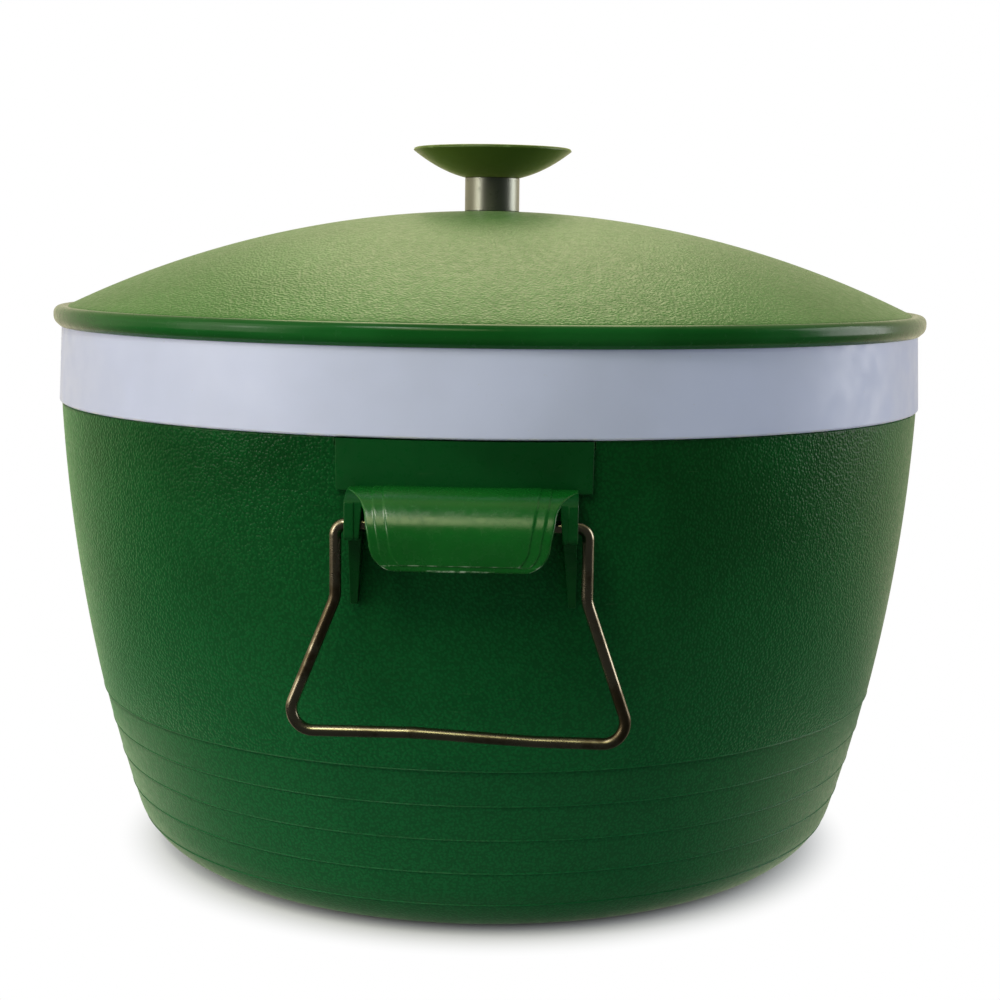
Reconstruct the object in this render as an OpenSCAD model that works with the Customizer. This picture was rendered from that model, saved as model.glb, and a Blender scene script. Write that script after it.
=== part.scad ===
// Insulated ice bucket: a double-walled barrel with a domed lift-off lid,
// two hooded hand grips and two wire bails that swing up and hook over the lid's rim.
// Millimetres, +Z up, origin on the table under the centre; the front grip faces -Y.

/* [Barrel] */
// Radius of the barrel just under the white collar, where it is widest
barrel_r = 142.8; // [125:0.1:165]
// Radius of the wall's curve, seen from the side
barrel_curve_r = 550; // [450:5:700]
// Height at which the wall's curve would stand upright
upright_z = 170.6; // [155:0.1:190]
// Height of the collar's lower edge above the table
collar_edge_z = 149.4; // [135:0.1:175]
// Wall thickness of the outer shell
shell_wall = 2.4; // [1.6:0.1:3.6]
// Thickness of the shell's base
shell_base = 3; // [2:0.1:5]
// Thickness of the shoulder that the neck stands on
shoulder_t = 5; // [4:0.1:8]
// Radius of the rounded corner at the base
base_corner_r = 22.5; // [19:0.5:26]
// Width of the foot ring that the bucket stands on
foot_w = 6; // [3:0.5:12]
// Height of the raised middle of the base above the table
foot_h = 2; // [1:0.1:4]

/* [Step rings] */
// Number of step rings round the lower wall
ring_count = 5; // [3:1:6]
// Spacing of the rings
ring_pitch = 10.9; // [7:0.1:12]
// Height of the lowest ring above the table, on the base corner
ring_low_z = 11.4; // [9:0.1:13]
// Depth of the top step, where the grained area ends
ring_top_step = 0.4; // [0.2:0.05:1]
// Depth of each lower step
ring_step = 0.2; // [0.1:0.05:0.5]

/* [Collar and liner] */
// How far the collar stands proud of the barrel at its lower edge
collar_proud = 0.8; // [0.3:0.1:2]
// Height of the collar from its lower edge to the rim
collar_h = 28.2; // [24:0.1:40]
// How much narrower the collar is at the rim than at its lower edge
collar_draft = 1.3; // [0:0.1:1.6]
// Wall thickness of the collar
collar_wall = 2; // [1.4:0.1:2.2]
// Wall thickness of the inner bucket
liner_wall = 2; // [1.4:0.1:3]
// Thickness of the rim
rim_t = 2.6; // [2:0.1:4]
// Thickness of the insulation in the wall and under the floor
foam_t = 10; // [8:0.1:18]
// Radius of the corner between the inner wall and the floor
liner_corner_r = 20; // [10:1:30]
// Height of the rib that centres the rim in the neck
rib_h = 5; // [3:0.1:7]
// Width of that rib
rib_w = 1.8; // [1.2:0.1:2.4]

/* [Lid] */
// Thickness of the lid's lip outside the collar
lip_w = 2.25; // [1.6:0.05:4]
// How far the lip hangs below the rim
lip_drop = 3.9; // [3:0.1:8]
// Thickness of the flat flange inside the lip
flange_t = 2.3; // [1.8:0.1:3.5]
// Width of the smooth band round the dome
band_w = 4.7; // [4.4:0.1:7]
// Rise of the dome above the smooth band
dome_rise = 32.4; // [22:0.1:45]
// Wall thickness of the dome
lid_wall = 2.4; // [1.6:0.1:3]
// Depth of the plug that enters the mouth
plug_depth = 11; // [7:0.1:16]
// Wall thickness of the plug pan
plug_wall = 1.8; // [1.2:0.1:2.4]
// Radius of the plug's lower corner
plug_corner_r = 4; // [2:0.5:5]
// Thickness of the ring inside the dome that holds the plug pan
snap_ring_w = 1.6; // [1.2:0.1:2]

/* [Knob] */
// Radius of the knob's saucer
knob_r = 26.6; // [20:0.1:34]
// Height of the saucer
knob_h = 9.8; // [8:0.1:14]
// Depth of the dish in the top of the saucer
knob_dish = 3; // [1:0.1:4]
// Radius of the chromed stem
stem_r = 9.2; // [7:0.1:12]
// Height of the chromed stem
stem_h = 11.3; // [8:0.1:20]
// Wall thickness of the chromed stem
stem_wall = 0.8; // [0.5:0.1:1.2]
// Radius of the knob screw
screw_r = 2; // [1.5:0.1:3]

/* [Hand grips] */
// Width of the plate that lies on the barrel
plate_w = 69; // [66:0.5:80]
// Height of the plate below the collar
plate_h = 14.5; // [11:0.5:18]
// Thickness of the plate
plate_t = 1.5; // [1.2:0.1:2]
// Height of the tongue tucked behind the collar
tongue_h = 9; // [7:0.5:14]
// Reach of the hood out from the barrel
hood_reach = 14.6; // [12:0.1:20]
// Drop of the hood below its root
hood_drop = 20.8; // [17:0.1:26]
// Thickness of the hood
hood_t = 2; // [1.6:0.1:3]
// Radius of the hood's bend
hood_bend_r = 13; // [9:0.5:13]
// Width of the hood across the top of its face
hood_w = 50; // [44:0.2:51]
// Width of the hood across its lower corners
hood_low_w = 47.6; // [38:0.2:49.6]
// Radius of the hood's lower corners
hood_corner_r = 7.5; // [3:0.5:9]
// Radius of the flare where the hood joins the side legs
hood_flare_r = 7; // [5:0.5:8]
// Thickness of each side leg at its root
leg_t = 4.6; // [3.4:0.1:5.2]
// Thickness of each side leg at its foot
leg_foot_t = 2; // [1.4:0.1:2.4]
// How far each leg leans outward from its root to its foot
leg_splay = 2.8; // [1.5:0.1:3]
// How far the pivot boss stands out from the root of each leg
boss_t = 0.4; // [0.3:0.1:1]
// Length of the legs below the collar
leg_drop = 45.5; // [38:0.5:55]

/* [Wire bails] */
// Radius of the wire
wire_r = 1.6; // [1.2:0.05:2]
// Distance between the two upright arms
bail_top_w = 67; // [66:0.5:72]
// Length of the straight upright part of each arm
bail_upright = 19.8; // [12:0.1:26]
// Width between the corners of the cross bar, before they are rounded
bail_bar_w = 95; // [80:0.5:110]
// How far the middle of the cross bar clears the lid's rim when it is swung up
bail_reach = 3.5; // [2.5:0.1:6]
// Height of the pivot below the collar
pivot_drop = 22.2; // [20:0.1:26]
// Distance of the pivot out from the barrel
pivot_out = 5.1; // [4.6:0.1:8]
// Length of the wire's ends inside the legs
pin_tail = 3.5; // [1:0.5:7]
// Radius of the bends at the pivots
bail_pin_bend_r = 3; // [2.4:0.1:3.2]
// Radius of the knees in the arms
bail_knee_r = 9; // [5:0.5:14]
// Radius of the two lower corners
bail_corner_r = 6; // [4:0.5:9]

/* [Hidden] */
$fn = 128;

// Clearances
seam = 0.2;          // between fixed pieces of one assembly
collar_gap = 0.3;    // under the collar's lower edge
lid_seat_gap = 0.25; // between the lid and the rim it rests on
lid_side_gap = 0.45; // between the lid's lip and the collar
plug_gap = 0.8;      // between the plug and the mouth
hug = 0.1;           // between a hand grip and the barrel
pivot_gap = 0.09;    // round a wire end in its hole
rivet_gap = 0.05;    // round a rivet in its hole
screw_gap = 0.05;    // round the knob screw in the knob
hole_gap = 0.4;      // round the knob screw in the lid and the washer
eps = 0.01;          // overlap of cuts past a face

// Smoothness of curves, in steps
wall_steps = 18;
band_steps = 4;
corner_steps = 8;
dome_steps = 24;

// Heights and radii of the barrel
shoulder_z = collar_edge_z - collar_gap;
floor_z = foot_h + shell_base;
steps_total = ring_top_step + (ring_count - 1) * ring_step;

// An arc as points, from angle a0 to angle a1 about the centre c
function arc(c, r, a0, a1, n) = [for (i = [0:n])
    let (a = a0 + (a1 - a0) * i / n) [c.x + r * cos(a), c.y + r * sin(a)]];

// Radius of the wall at the height where its curve would stand upright
wall_r = barrel_r + barrel_curve_r - sqrt(pow(barrel_curve_r, 2) - pow(upright_z - collar_edge_z, 2));

// Radius of the smooth barrel curve at a height
function barrel_at(z) = wall_r - barrel_curve_r + sqrt(pow(barrel_curve_r, 2) - pow(upright_z - z, 2));

// Centre of a corner of radius r that is tangent to the barrel curve set in by inset, and to the plane at z0
function corner_centre(r, inset, z0) =
    [wall_r - barrel_curve_r + sqrt(pow(barrel_curve_r - inset - r, 2) - pow(upright_z - z0 - r, 2)), z0 + r];
// Angle at which that corner meets the barrel curve
function corner_angle(c) = -atan2(upright_z - c.y, c.x - wall_r + barrel_curve_r);

// Outer base corner, before the ring steps set it in
base_c = corner_centre(base_corner_r, 0, 0);
base_a = corner_angle(base_c);
base_tangent_z = base_c.y + base_corner_r * sin(base_a);
foot_r = base_c.x - steps_total;
ring_a = asin((ring_low_z - base_c.y) / base_corner_r);

// Radius of the outside at a height without the ring steps: the corner, and the barrel curve above it
function outside_at(z) = z >= base_tangent_z ? barrel_at(z)
    : base_c.x + sqrt(pow(base_corner_r, 2) - pow(base_c.y - z, 2));

// Heights of the step rings, lowest first
function ring_z(i) = ring_low_z + i * ring_pitch;
// Total depth of the steps below ring i, counted from the top
function steps_below(i) = i >= ring_count ? 0 : ring_top_step + (ring_count - 1 - i) * ring_step;

// Wall points of one band between two heights, set in by a depth
function band_pts(z0, z1, depth, n) = [for (i = [0:n])
    let (z = z0 + (z1 - z0) * i / n) [outside_at(z) - depth, z]];
// Wall points from the lowest ring up to a height, following the ring steps and set in by a depth
function wall_pts(z_high, depth) = concat(
    [for (i = [1:ring_count - 1])
        each band_pts(ring_z(i - 1), ring_z(i), steps_below(i) + depth, band_steps)],
    band_pts(ring_z(ring_count - 1), z_high, depth, wall_steps));
// The same wall from a height down to a rounded corner over a floor at z0
function inside_pts(z_high, depth, z0) = let (
    r = base_corner_r - depth, c = [foot_r, z0 + r], tangent_z = c.y + r * sin(base_a),
    up = wall_pts(z_high, depth), n = len(up))
    concat([for (i = [n - 1:-1:0]) if (up[i].y > tangent_z) up[i]], arc(c, r, base_a, -90, corner_steps));

// Neck of the shell, behind the collar
collar_r_low = barrel_r + collar_proud;
collar_r_top = collar_r_low - collar_draft;
rim_z = collar_edge_z + collar_h;
rivet_head_t = 0.8;
rivet_head_r = 3;
neck_r = collar_r_top - collar_wall - seam - rivet_head_t - plate_t - hug;
neck_in_r = neck_r - shell_wall;
rim_under_z = rim_z - rim_t;
neck_top_z = rim_under_z - seam;

// Inner bucket
liner_out = shell_wall + foam_t;
liner_in = liner_out + liner_wall;
mouth_r = barrel_r - liner_in;
liner_floor_z = floor_z + foam_t + liner_wall;
liner_c = corner_centre(liner_corner_r, liner_in, liner_floor_z);
liner_a = corner_angle(liner_c);
rim_edge_r = 0.8;

// Inside wall of the liner, or a wall parallel to it set out by a depth, from the floor up to a height
function liner_pts(out, z_high) = concat(
    [[0, liner_floor_z - out]],
    arc(liner_c, liner_corner_r + out, -90, liner_a, corner_steps),
    [for (i = [1:wall_steps])
        let (z_t = liner_c.y + (liner_corner_r + out) * sin(liner_a),
             z = z_t + (collar_edge_z - z_t) * i / wall_steps)
        [wall_r - barrel_curve_r
            + sqrt(pow(barrel_curve_r - liner_in + out, 2) - pow(upright_z - z, 2)), z]],
    [[mouth_r + out, z_high]]);

// Lid
lid_r = collar_r_top + lid_side_gap + lip_w;
lip_in_r = collar_r_top + lid_side_gap;
lip_z = rim_z - lip_drop;
lid_seat_z = rim_z + lid_seat_gap;
flange_top_z = lid_seat_z + flange_t;
dome_r = lid_r - band_w;
dome_ball_r = (pow(dome_r, 2) + pow(dome_rise, 2)) / (2 * dome_rise);
dome_c_z = flange_top_z + dome_rise - dome_ball_r;
lip_top_r = 0.37 * (flange_top_z - lip_z);
lip_slope_h = 0.5 * (flange_top_z - lip_z);
function dome_z(r, depth) = dome_c_z + sqrt(pow(dome_ball_r - depth, 2) - pow(r, 2));
// Dome points between two radii, set in by a depth
function dome_pts(r0, r1, depth) = [for (i = [0:dome_steps])
    let (r = r0 + (r1 - r0) * i / dome_steps) [r, dome_z(r, depth)]];
dome_in_r = sqrt(pow(dome_ball_r - lid_wall, 2) - pow(lid_seat_z - dome_c_z, 2));

// Plug pan under the dome
plug_r = mouth_r - plug_gap;
plug_z = rim_z - plug_depth;
plug_c = [plug_r - plug_corner_r, plug_z + plug_corner_r];
pan_flange_r = plug_r + 6;
snap_ring_r = pan_flange_r + seam;

// Knob
stem_seat_r = stem_r + 1.6;
stem_seat_z = dome_z(stem_seat_r, 0);
washer_r = stem_r - 1;
washer_t = 1.2;
washer_seat_z = dome_z(0, lid_wall) - 0.3;
screw_head_r = 2.1 * screw_r;
screw_head_h = 1.3 * screw_r;
stem_top_z = stem_seat_z + stem_h;
knob_top_z = stem_top_z + knob_h;
knob_edge_r = 0.9;
knob_bow = 1.2;
screw_end_z = stem_top_z + (knob_h - knob_dish) / 2;
screw_pilot_extra = 1;
foam_pocket_r = washer_r + 2;
foam_pocket_gap = 2;

// Hand grips, measured out from the axis along -Y
plate_low_z = collar_edge_z - plate_h;
tongue_r = neck_r + hug;
notch_t = plate_t + 2 * seam;
notch_r = neck_r - hug / 2;
hood_root_z = plate_low_z + hood_t;
hood_out_y = barrel_r + hood_reach;
hood_low_z = hood_root_z - hood_drop;
leg_low_z = collar_edge_z - leg_drop;
pivot_z = collar_edge_z - pivot_drop;
pivot_y = barrel_r + pivot_out;
pivot_hole_r = wire_r + pivot_gap;
boss_wall = 2.3;
boss_out_y = pivot_y + pivot_hole_r + boss_wall + 0.6;
boss_low_z = pivot_z - pivot_hole_r - boss_wall;
arm_gap = 1.1;
boss_x = bail_top_w / 2 - wire_r - arm_gap;
leg_x = boss_x - boss_t;
leg_in_x = leg_x - leg_t;
plate_angle = 2 * asin(plate_w / 2 / barrel_r);
inner_y = barrel_r - 6;

// Rivets through the tongue and the neck
rivet_r = 1.6;
rivet_angle = plate_angle / 4;
rivet_z = collar_edge_z + tongue_h / 2;
rivet_tail_r = 2.4;
rivet_tail_t = 1.8;

// Wire bails
bail_len = flange_top_z + bail_reach - pivot_z;
pin_end_x = leg_in_x - pin_tail;
bend_swell = 0.02; // extra radius of the wire in its bends
bend_lap = 0.2;    // length of straight wire inside each end of a bend

// Solid of revolution from an outline of radius and height
module turned(pts) rotate_extrude() polygon(pts);

// The same over an angle, centred on -Y
module turned_part(angle, pts) rotate([0, 0, 270 - angle / 2]) rotate_extrude(angle = angle) polygon(pts);

// An outline of distance along -Y and height, extruded along X from x0 to x1
module side_cut(x0, x1, pts)
    rotate([90, 0, -90]) translate([0, 0, -x1]) linear_extrude(height = x1 - x0) polygon(pts);

// Radial cylinder towards -Y, from radius r0 to radius r1
module radial_pin(r, r0, r1) translate([0, -r0, 0]) rotate([90, 0, 0]) cylinder(r = r, h = r1 - r0);

// Places children at both rivets of a hand grip
module at_rivets() for (s = [-1, 1]) rotate([0, 0, s * rivet_angle]) translate([0, 0, rivet_z]) children();

// Places children at the front and the rear
module at_both_grips() for (a = [0, 180]) rotate([0, 0, a]) children();

// Everything inside the barrel's outer face, grown by a gap
module barrel_envelope(gap)
    turned(concat([[0, ring_low_z]], wall_pts(collar_edge_z, -gap), [[0, collar_edge_z]]));

module outer_shell() color("darkgreen")
    difference() {
        turned(concat(
            [[0, foot_h], [foot_r - foot_w - foot_h, foot_h], [foot_r - foot_w, 0]],
            arc([foot_r, base_corner_r], base_corner_r, -90, ring_a, corner_steps),
            wall_pts(shoulder_z, 0),
            [[neck_r, shoulder_z], [neck_r, neck_top_z], [neck_in_r, neck_top_z],
             [neck_in_r, shoulder_z - shoulder_t]],
            inside_pts(shoulder_z - shoulder_t, shell_wall, floor_z),
            [[0, floor_z]]));
        at_both_grips() {
            turned_part(plate_angle + 0.4, [
                [notch_r, shoulder_z - notch_t], [barrel_r + eps, shoulder_z - notch_t],
                [barrel_r + eps, shoulder_z + eps], [notch_r, shoulder_z + eps]]);
            at_rivets() radial_pin(rivet_r + rivet_gap, neck_in_r - shell_wall, neck_r + shell_wall);
        }
    }

module inner_liner() color("whitesmoke")
    turned(concat(
        liner_pts(0, rim_z - 2 * rim_edge_r),
        arc([mouth_r + rim_edge_r, rim_z - rim_edge_r], rim_edge_r, 180, 90, 3),
        arc([collar_r_top - rim_edge_r, rim_z - rim_edge_r], rim_edge_r, 90, 0, 3),
        [[collar_r_low, collar_edge_z], [collar_r_low - collar_wall, collar_edge_z],
         [collar_r_top - collar_wall, rim_under_z],
         [neck_in_r - seam, rim_under_z], [neck_in_r - seam, rim_under_z - rib_h],
         [neck_in_r - seam - rib_w, rim_under_z - rib_h], [neck_in_r - seam - rib_w, rim_under_z],
         [mouth_r + liner_wall, rim_under_z]],
        let (out = liner_pts(liner_wall, collar_edge_z), n = len(out)) [for (i = [n - 2:-1:0]) out[i]]));

module body_insulation() color("ivory")
    difference() {
        turned(concat(
            liner_pts(liner_wall + seam, rim_under_z - rib_h - seam),
            [[neck_in_r - seam, rim_under_z - rib_h - seam],
             [neck_in_r - seam, shoulder_z - shoulder_t - seam]],
            inside_pts(shoulder_z - shoulder_t - seam, shell_wall + seam, floor_z + seam),
            [[0, floor_z + seam]]));
        at_both_grips() at_rivets()
            radial_pin(rivet_tail_r + seam, neck_in_r - rivet_tail_t - seam, neck_r);
    }

module lid_cover() color("forestgreen") {
    difference() {
        turned(concat(
            [[0, stem_seat_z]], dome_pts(stem_seat_r, dome_r, 0),
            arc([lid_r - lip_top_r, flange_top_z - lip_top_r], lip_top_r, 90, 0, corner_steps),
            arc([lid_r - lip_slope_h, lip_z + lip_slope_h], lip_slope_h, 0, -50, corner_steps),
            [[lip_in_r, lip_z], [lip_in_r, lid_seat_z]],
            let (under = dome_pts(washer_r + 1, dome_in_r, lid_wall), n = len(under))
                [for (i = [n - 1:-1:0]) under[i]],
            [[washer_r + 1, washer_seat_z], [0, washer_seat_z]]));
        translate([0, 0, washer_seat_z - lid_wall]) cylinder(r = screw_r + hole_gap, h = 4 * lid_wall);
    }
    turned([[snap_ring_r, lid_seat_z + seam], [snap_ring_r + snap_ring_w, lid_seat_z + seam],
            [snap_ring_r + snap_ring_w, dome_z(snap_ring_r + snap_ring_w, lid_wall / 2)],
            [snap_ring_r, dome_z(snap_ring_r, lid_wall / 2)]]);
}

module lid_liner() color("white")
    turned(concat(
        [[0, plug_z]],
        arc(plug_c, plug_corner_r, -90, 0, corner_steps),
        [[plug_r, lid_seat_z], [pan_flange_r, lid_seat_z], [pan_flange_r, lid_seat_z + plug_wall],
         [plug_r - plug_wall, lid_seat_z + plug_wall]],
        arc(plug_c, plug_corner_r - plug_wall, 0, -90, corner_steps),
        [[0, plug_z + plug_wall]]));

module lid_insulation() color("ivory")
    difference() {
        turned(concat(
            [[0, plug_z + plug_wall + seam]],
            arc(plug_c, plug_corner_r - plug_wall - seam, -90, 0, corner_steps),
            let (top = dome_pts(0, plug_r - plug_wall - seam, lid_wall + seam), n = len(top))
                [for (i = [n - 1:-1:0]) top[i]]));
        translate([0, 0, washer_seat_z - washer_t - screw_head_h - foam_pocket_gap])
            cylinder(r = foam_pocket_r, h = dome_rise);
    }

// Underside of the saucer, a bowed cone from the stem out to the edge
function saucer_z(r) = let (k = (r - stem_r) / (knob_r - stem_r))
    stem_top_z + (knob_h - knob_edge_r) * k - knob_bow * 4 * k * (1 - k);

module knob_cap() color("olivedrab")
    difference() {
        turned(concat(
            [[0, stem_seat_z + 2 * seam], [stem_r - stem_wall - seam, stem_seat_z + 2 * seam],
             [stem_r - stem_wall - seam, stem_top_z]],
            [for (i = [0:corner_steps])
                let (r = stem_r + (knob_r - knob_edge_r / 2 - stem_r) * i / corner_steps) [r, saucer_z(r)]],
            arc([knob_r - knob_edge_r, knob_top_z - knob_edge_r], knob_edge_r, 0, 90, 4),
            [for (i = [corner_steps - 1:-1:0]) let (k = i / corner_steps)
                [(knob_r - knob_edge_r) * k, knob_top_z - knob_dish * (1 - k * k)]]));
        translate([0, 0, stem_seat_z])
            cylinder(r = screw_r + screw_gap, h = screw_end_z + screw_pilot_extra - stem_seat_z);
    }

module knob_stem() color("silver")
    translate([0, 0, stem_seat_z])
        difference() {
            cylinder(r = stem_r, h = stem_h);
            translate([0, 0, -eps]) cylinder(r = stem_r - stem_wall, h = stem_h + 2 * eps);
        }

module knob_screw() color("gray") {
    head_z = washer_seat_z - washer_t - screw_head_h;
    translate([0, 0, head_z]) cylinder(r = screw_head_r, h = screw_head_h);
    translate([0, 0, head_z]) cylinder(r = screw_r, h = screw_end_z - head_z);
}

module knob_washer() color("silver")
    translate([0, 0, washer_seat_z - washer_t])
        difference() {
            cylinder(r = washer_r, h = washer_t);
            translate([0, 0, -eps]) cylinder(r = screw_r + hole_gap, h = washer_t + 2 * eps);
        }

// Plate on the barrel, the web over the shoulder and the tongue behind the collar, in one section
module grip_plate() {
    face_r = barrel_at(shoulder_z - plate_t) + hug;
    turned_part(plate_angle, concat(
        [for (i = [0:4]) let (z = plate_low_z + (shoulder_z - plate_low_z) * i / 4)
            [barrel_at(z) + hug + plate_t, z]],
        [[tongue_r + plate_t, shoulder_z], [tongue_r + plate_t, collar_edge_z + tongue_h],
         [tongue_r, collar_edge_z + tongue_h], [tongue_r, shoulder_z - plate_t],
         [face_r, shoulder_z - plate_t]],
        [for (i = [3:-1:0]) let (z = plate_low_z + (shoulder_z - plate_t - plate_low_z) * i / 4)
            [barrel_at(z) + hug, z]]));
}

// Hood that the fingers go under: a bent sheet cut to a flared, round-cornered face
module grip_hood() {
    bend = [hood_out_y - hood_bend_r, hood_root_z - hood_bend_r];
    flare = [hood_w / 2 + hood_flare_r, hood_root_z - hood_flare_r];
    corner = [hood_low_w / 2 - hood_corner_r, hood_low_z + hood_corner_r];
    half = concat(
        arc(corner, hood_corner_r, -90, 0, corner_steps),
        arc(flare, hood_flare_r, 180, 180 - acos((flare.x - boss_x) / hood_flare_r), corner_steps),
        [[boss_x, hood_root_z + eps]]);
    intersection() {
        side_cut(-boss_x, boss_x, concat(
            [[inner_y, hood_root_z]], arc(bend, hood_bend_r, 90, 0, corner_steps),
            [[hood_out_y, hood_low_z], [hood_out_y - hood_t, hood_low_z]],
            arc(bend, hood_bend_r - hood_t, 0, 90, corner_steps),
            [[inner_y, hood_root_z - hood_t]]));
        rotate([90, 0, 0]) linear_extrude(height = hood_out_y + hood_t)
            polygon(concat(half, [for (i = [len(half) - 1:-1:0]) [-half[i].x, half[i].y]]));
    }
}

// One side leg with its pivot boss, on the +X side
module grip_leg() {
    root_z = plate_low_z + eps;
    foot_x = leg_in_x + leg_splay;
    intersection() {
        side_cut(leg_in_x, boss_x, [
            [inner_y, root_z], [boss_out_y, root_z], [boss_out_y, boss_low_z + boss_wall],
            [boss_out_y - boss_wall, boss_low_z], [pivot_y - boss_wall, boss_low_z],
            [barrel_at(leg_low_z), leg_low_z], [inner_y, leg_low_z]]);
        rotate([90, 0, 0]) linear_extrude(height = boss_out_y + boss_wall) polygon([
            [leg_in_x, root_z + eps], [leg_x, root_z + eps],
            [foot_x + leg_foot_t, leg_low_z - eps], [foot_x, leg_low_z - eps]]);
    }
    side_cut(leg_x - leg_t / 2, boss_x, [
        [inner_y, root_z], [boss_out_y, root_z], [boss_out_y, boss_low_z + boss_wall],
        [boss_out_y - boss_wall, boss_low_z], [inner_y, boss_low_z]]);
}

module bracket() {
    difference() {
        union() {
            grip_hood();
            for (s = [0, 1]) mirror([s, 0, 0]) grip_leg();
        }
        barrel_envelope(hug);
        translate([-boss_x - eps, -pivot_y, pivot_z])
            rotate([0, 90, 0]) cylinder(r = pivot_hole_r, h = 2 * (boss_x + eps));
    }
    difference() {
        grip_plate();
        at_rivets() radial_pin(rivet_r + rivet_gap, neck_r - shell_wall, neck_r + 2 * shell_wall);
    }
}

module bracket_front() color("green") bracket();
module bracket_rear() color("green") rotate([0, 0, 180]) bracket();

// A rivet: head on the tongue, shank through the neck, upset tail inside
module rivet() {
    head_r0 = tongue_r + plate_t + rivet_gap;
    radial_pin(rivet_head_r, head_r0, head_r0 + rivet_head_t);
    radial_pin(rivet_r, neck_in_r - rivet_tail_t, head_r0 + rivet_head_t / 2);
    radial_pin(rivet_tail_r, neck_in_r - rivet_tail_t,
               neck_in_r - rivet_gap - pow(rivet_tail_r, 2) / neck_in_r);
}

module bracket_rivets_front() color("silver") at_rivets() rivet();
module bracket_rivets_rear() color("silver") rotate([0, 0, 180]) at_rivets() rivet();

// Straight wire between two points of a plane
module rod(p, q) let (d = q - p)
    translate([p.x, p.y, 0]) rotate([0, 0, atan2(d.y, d.x)]) rotate([0, 90, 0])
        cylinder(r = wire_r, h = norm(d));

// Bend of the wire about a centre, from one angle through a turn; it is a hair fuller than the straight wire
module elbow(c, r, a0, turn)
    translate([c.x, c.y, 0]) rotate([0, 0, turn > 0 ? a0 : a0 + turn])
        rotate_extrude(angle = abs(turn)) translate([r, 0]) circle(r = wire_r + bend_swell);

function unit(v) = v / norm(v);
// Signed angle from direction u to direction v
function turn_of(u, v) = atan2(u.x * v.y - u.y * v.x, u.x * v.x + u.y * v.y);

// Wire along corner points, each corner rounded to its radius
module wire(pts, radii) {
    n = len(pts);
    turns = [for (i = [0:n - 1]) i == 0 || i == n - 1 ? 0
        : turn_of(unit(pts[i] - pts[i - 1]), unit(pts[i + 1] - pts[i]))];
    trims = [for (i = [0:n - 1]) radii[i] * tan(abs(turns[i]) / 2)];
    for (i = [0:n - 2]) let (u = unit(pts[i + 1] - pts[i]))
        rod(pts[i] + u * max(0, trims[i] - bend_lap), pts[i + 1] - u * max(0, trims[i + 1] - bend_lap));
    for (i = [1:n - 2]) let (u = unit(pts[i] - pts[i - 1]), side = sign(turns[i]),
                             left = [-u.y, u.x] * side, start = pts[i] - u * trims[i],
                             c = start + left * radii[i])
        elbow(c, radii[i], atan2(-left.y, -left.x), turns[i]);
}

// Bail in the plane of its arms, pivot at the origin, hanging down
module bail() {
    arm_x = bail_top_w / 2;
    right = [[pin_end_x, 0], [arm_x, 0], [arm_x, -bail_upright], [bail_bar_w / 2, -bail_len]];
    left = [for (i = [3:-1:0]) [-right[i].x, right[i].y]];
    radii = [0, bail_pin_bend_r, bail_knee_r, bail_corner_r];
    translate([0, -pivot_y, pivot_z]) rotate([90, 0, 0])
        wire(concat(right, left), concat(radii, [for (i = [3:-1:0]) radii[i]]));
}

module bail_front() color("lightgray") bail();
module bail_rear() color("lightgray") rotate([0, 0, 180]) bail();

outer_shell();
inner_liner();
body_insulation();
lid_cover();
lid_liner();
lid_insulation();
knob_cap();
knob_stem();
knob_screw();
knob_washer();
bracket_front();
bracket_rear();
bracket_rivets_front();
bracket_rivets_rear();
bail_front();
bail_rear();
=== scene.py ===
import math

import bmesh
import bpy
from mathutils import Matrix, Vector


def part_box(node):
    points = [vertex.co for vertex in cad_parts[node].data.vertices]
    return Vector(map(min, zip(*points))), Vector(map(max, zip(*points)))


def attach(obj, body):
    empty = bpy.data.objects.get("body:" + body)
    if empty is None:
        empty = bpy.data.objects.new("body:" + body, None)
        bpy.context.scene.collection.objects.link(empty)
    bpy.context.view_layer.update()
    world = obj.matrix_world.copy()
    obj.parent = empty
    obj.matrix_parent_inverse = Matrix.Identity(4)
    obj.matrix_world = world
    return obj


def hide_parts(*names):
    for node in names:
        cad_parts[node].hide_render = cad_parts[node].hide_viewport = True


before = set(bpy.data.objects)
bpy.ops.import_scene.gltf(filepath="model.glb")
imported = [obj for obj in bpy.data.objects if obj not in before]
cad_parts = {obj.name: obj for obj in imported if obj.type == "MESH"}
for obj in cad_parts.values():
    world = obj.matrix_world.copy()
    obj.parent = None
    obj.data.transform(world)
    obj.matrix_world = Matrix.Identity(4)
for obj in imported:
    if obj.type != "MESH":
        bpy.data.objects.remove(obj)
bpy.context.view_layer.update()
mm = 0.001                     # sizes of pieces below are in millimetres
weldGap = 0.002                # points closer than this are one point
print("frame loaded:", len(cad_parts), "nodes")


def nodeBox(name):
    low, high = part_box(name)
    return low / mm, high / mm


# points of an arc, from one angle in degrees to another
def arcLine(centre, radius, startDeg, endDeg, steps):
    points = []
    for i in range(steps + 1):
        angle = math.radians(startDeg + (endDeg - startDeg) * i / steps)
        points.append((centre[0] + radius * math.cos(angle), centre[1] + radius * math.sin(angle)))
    return points


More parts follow.
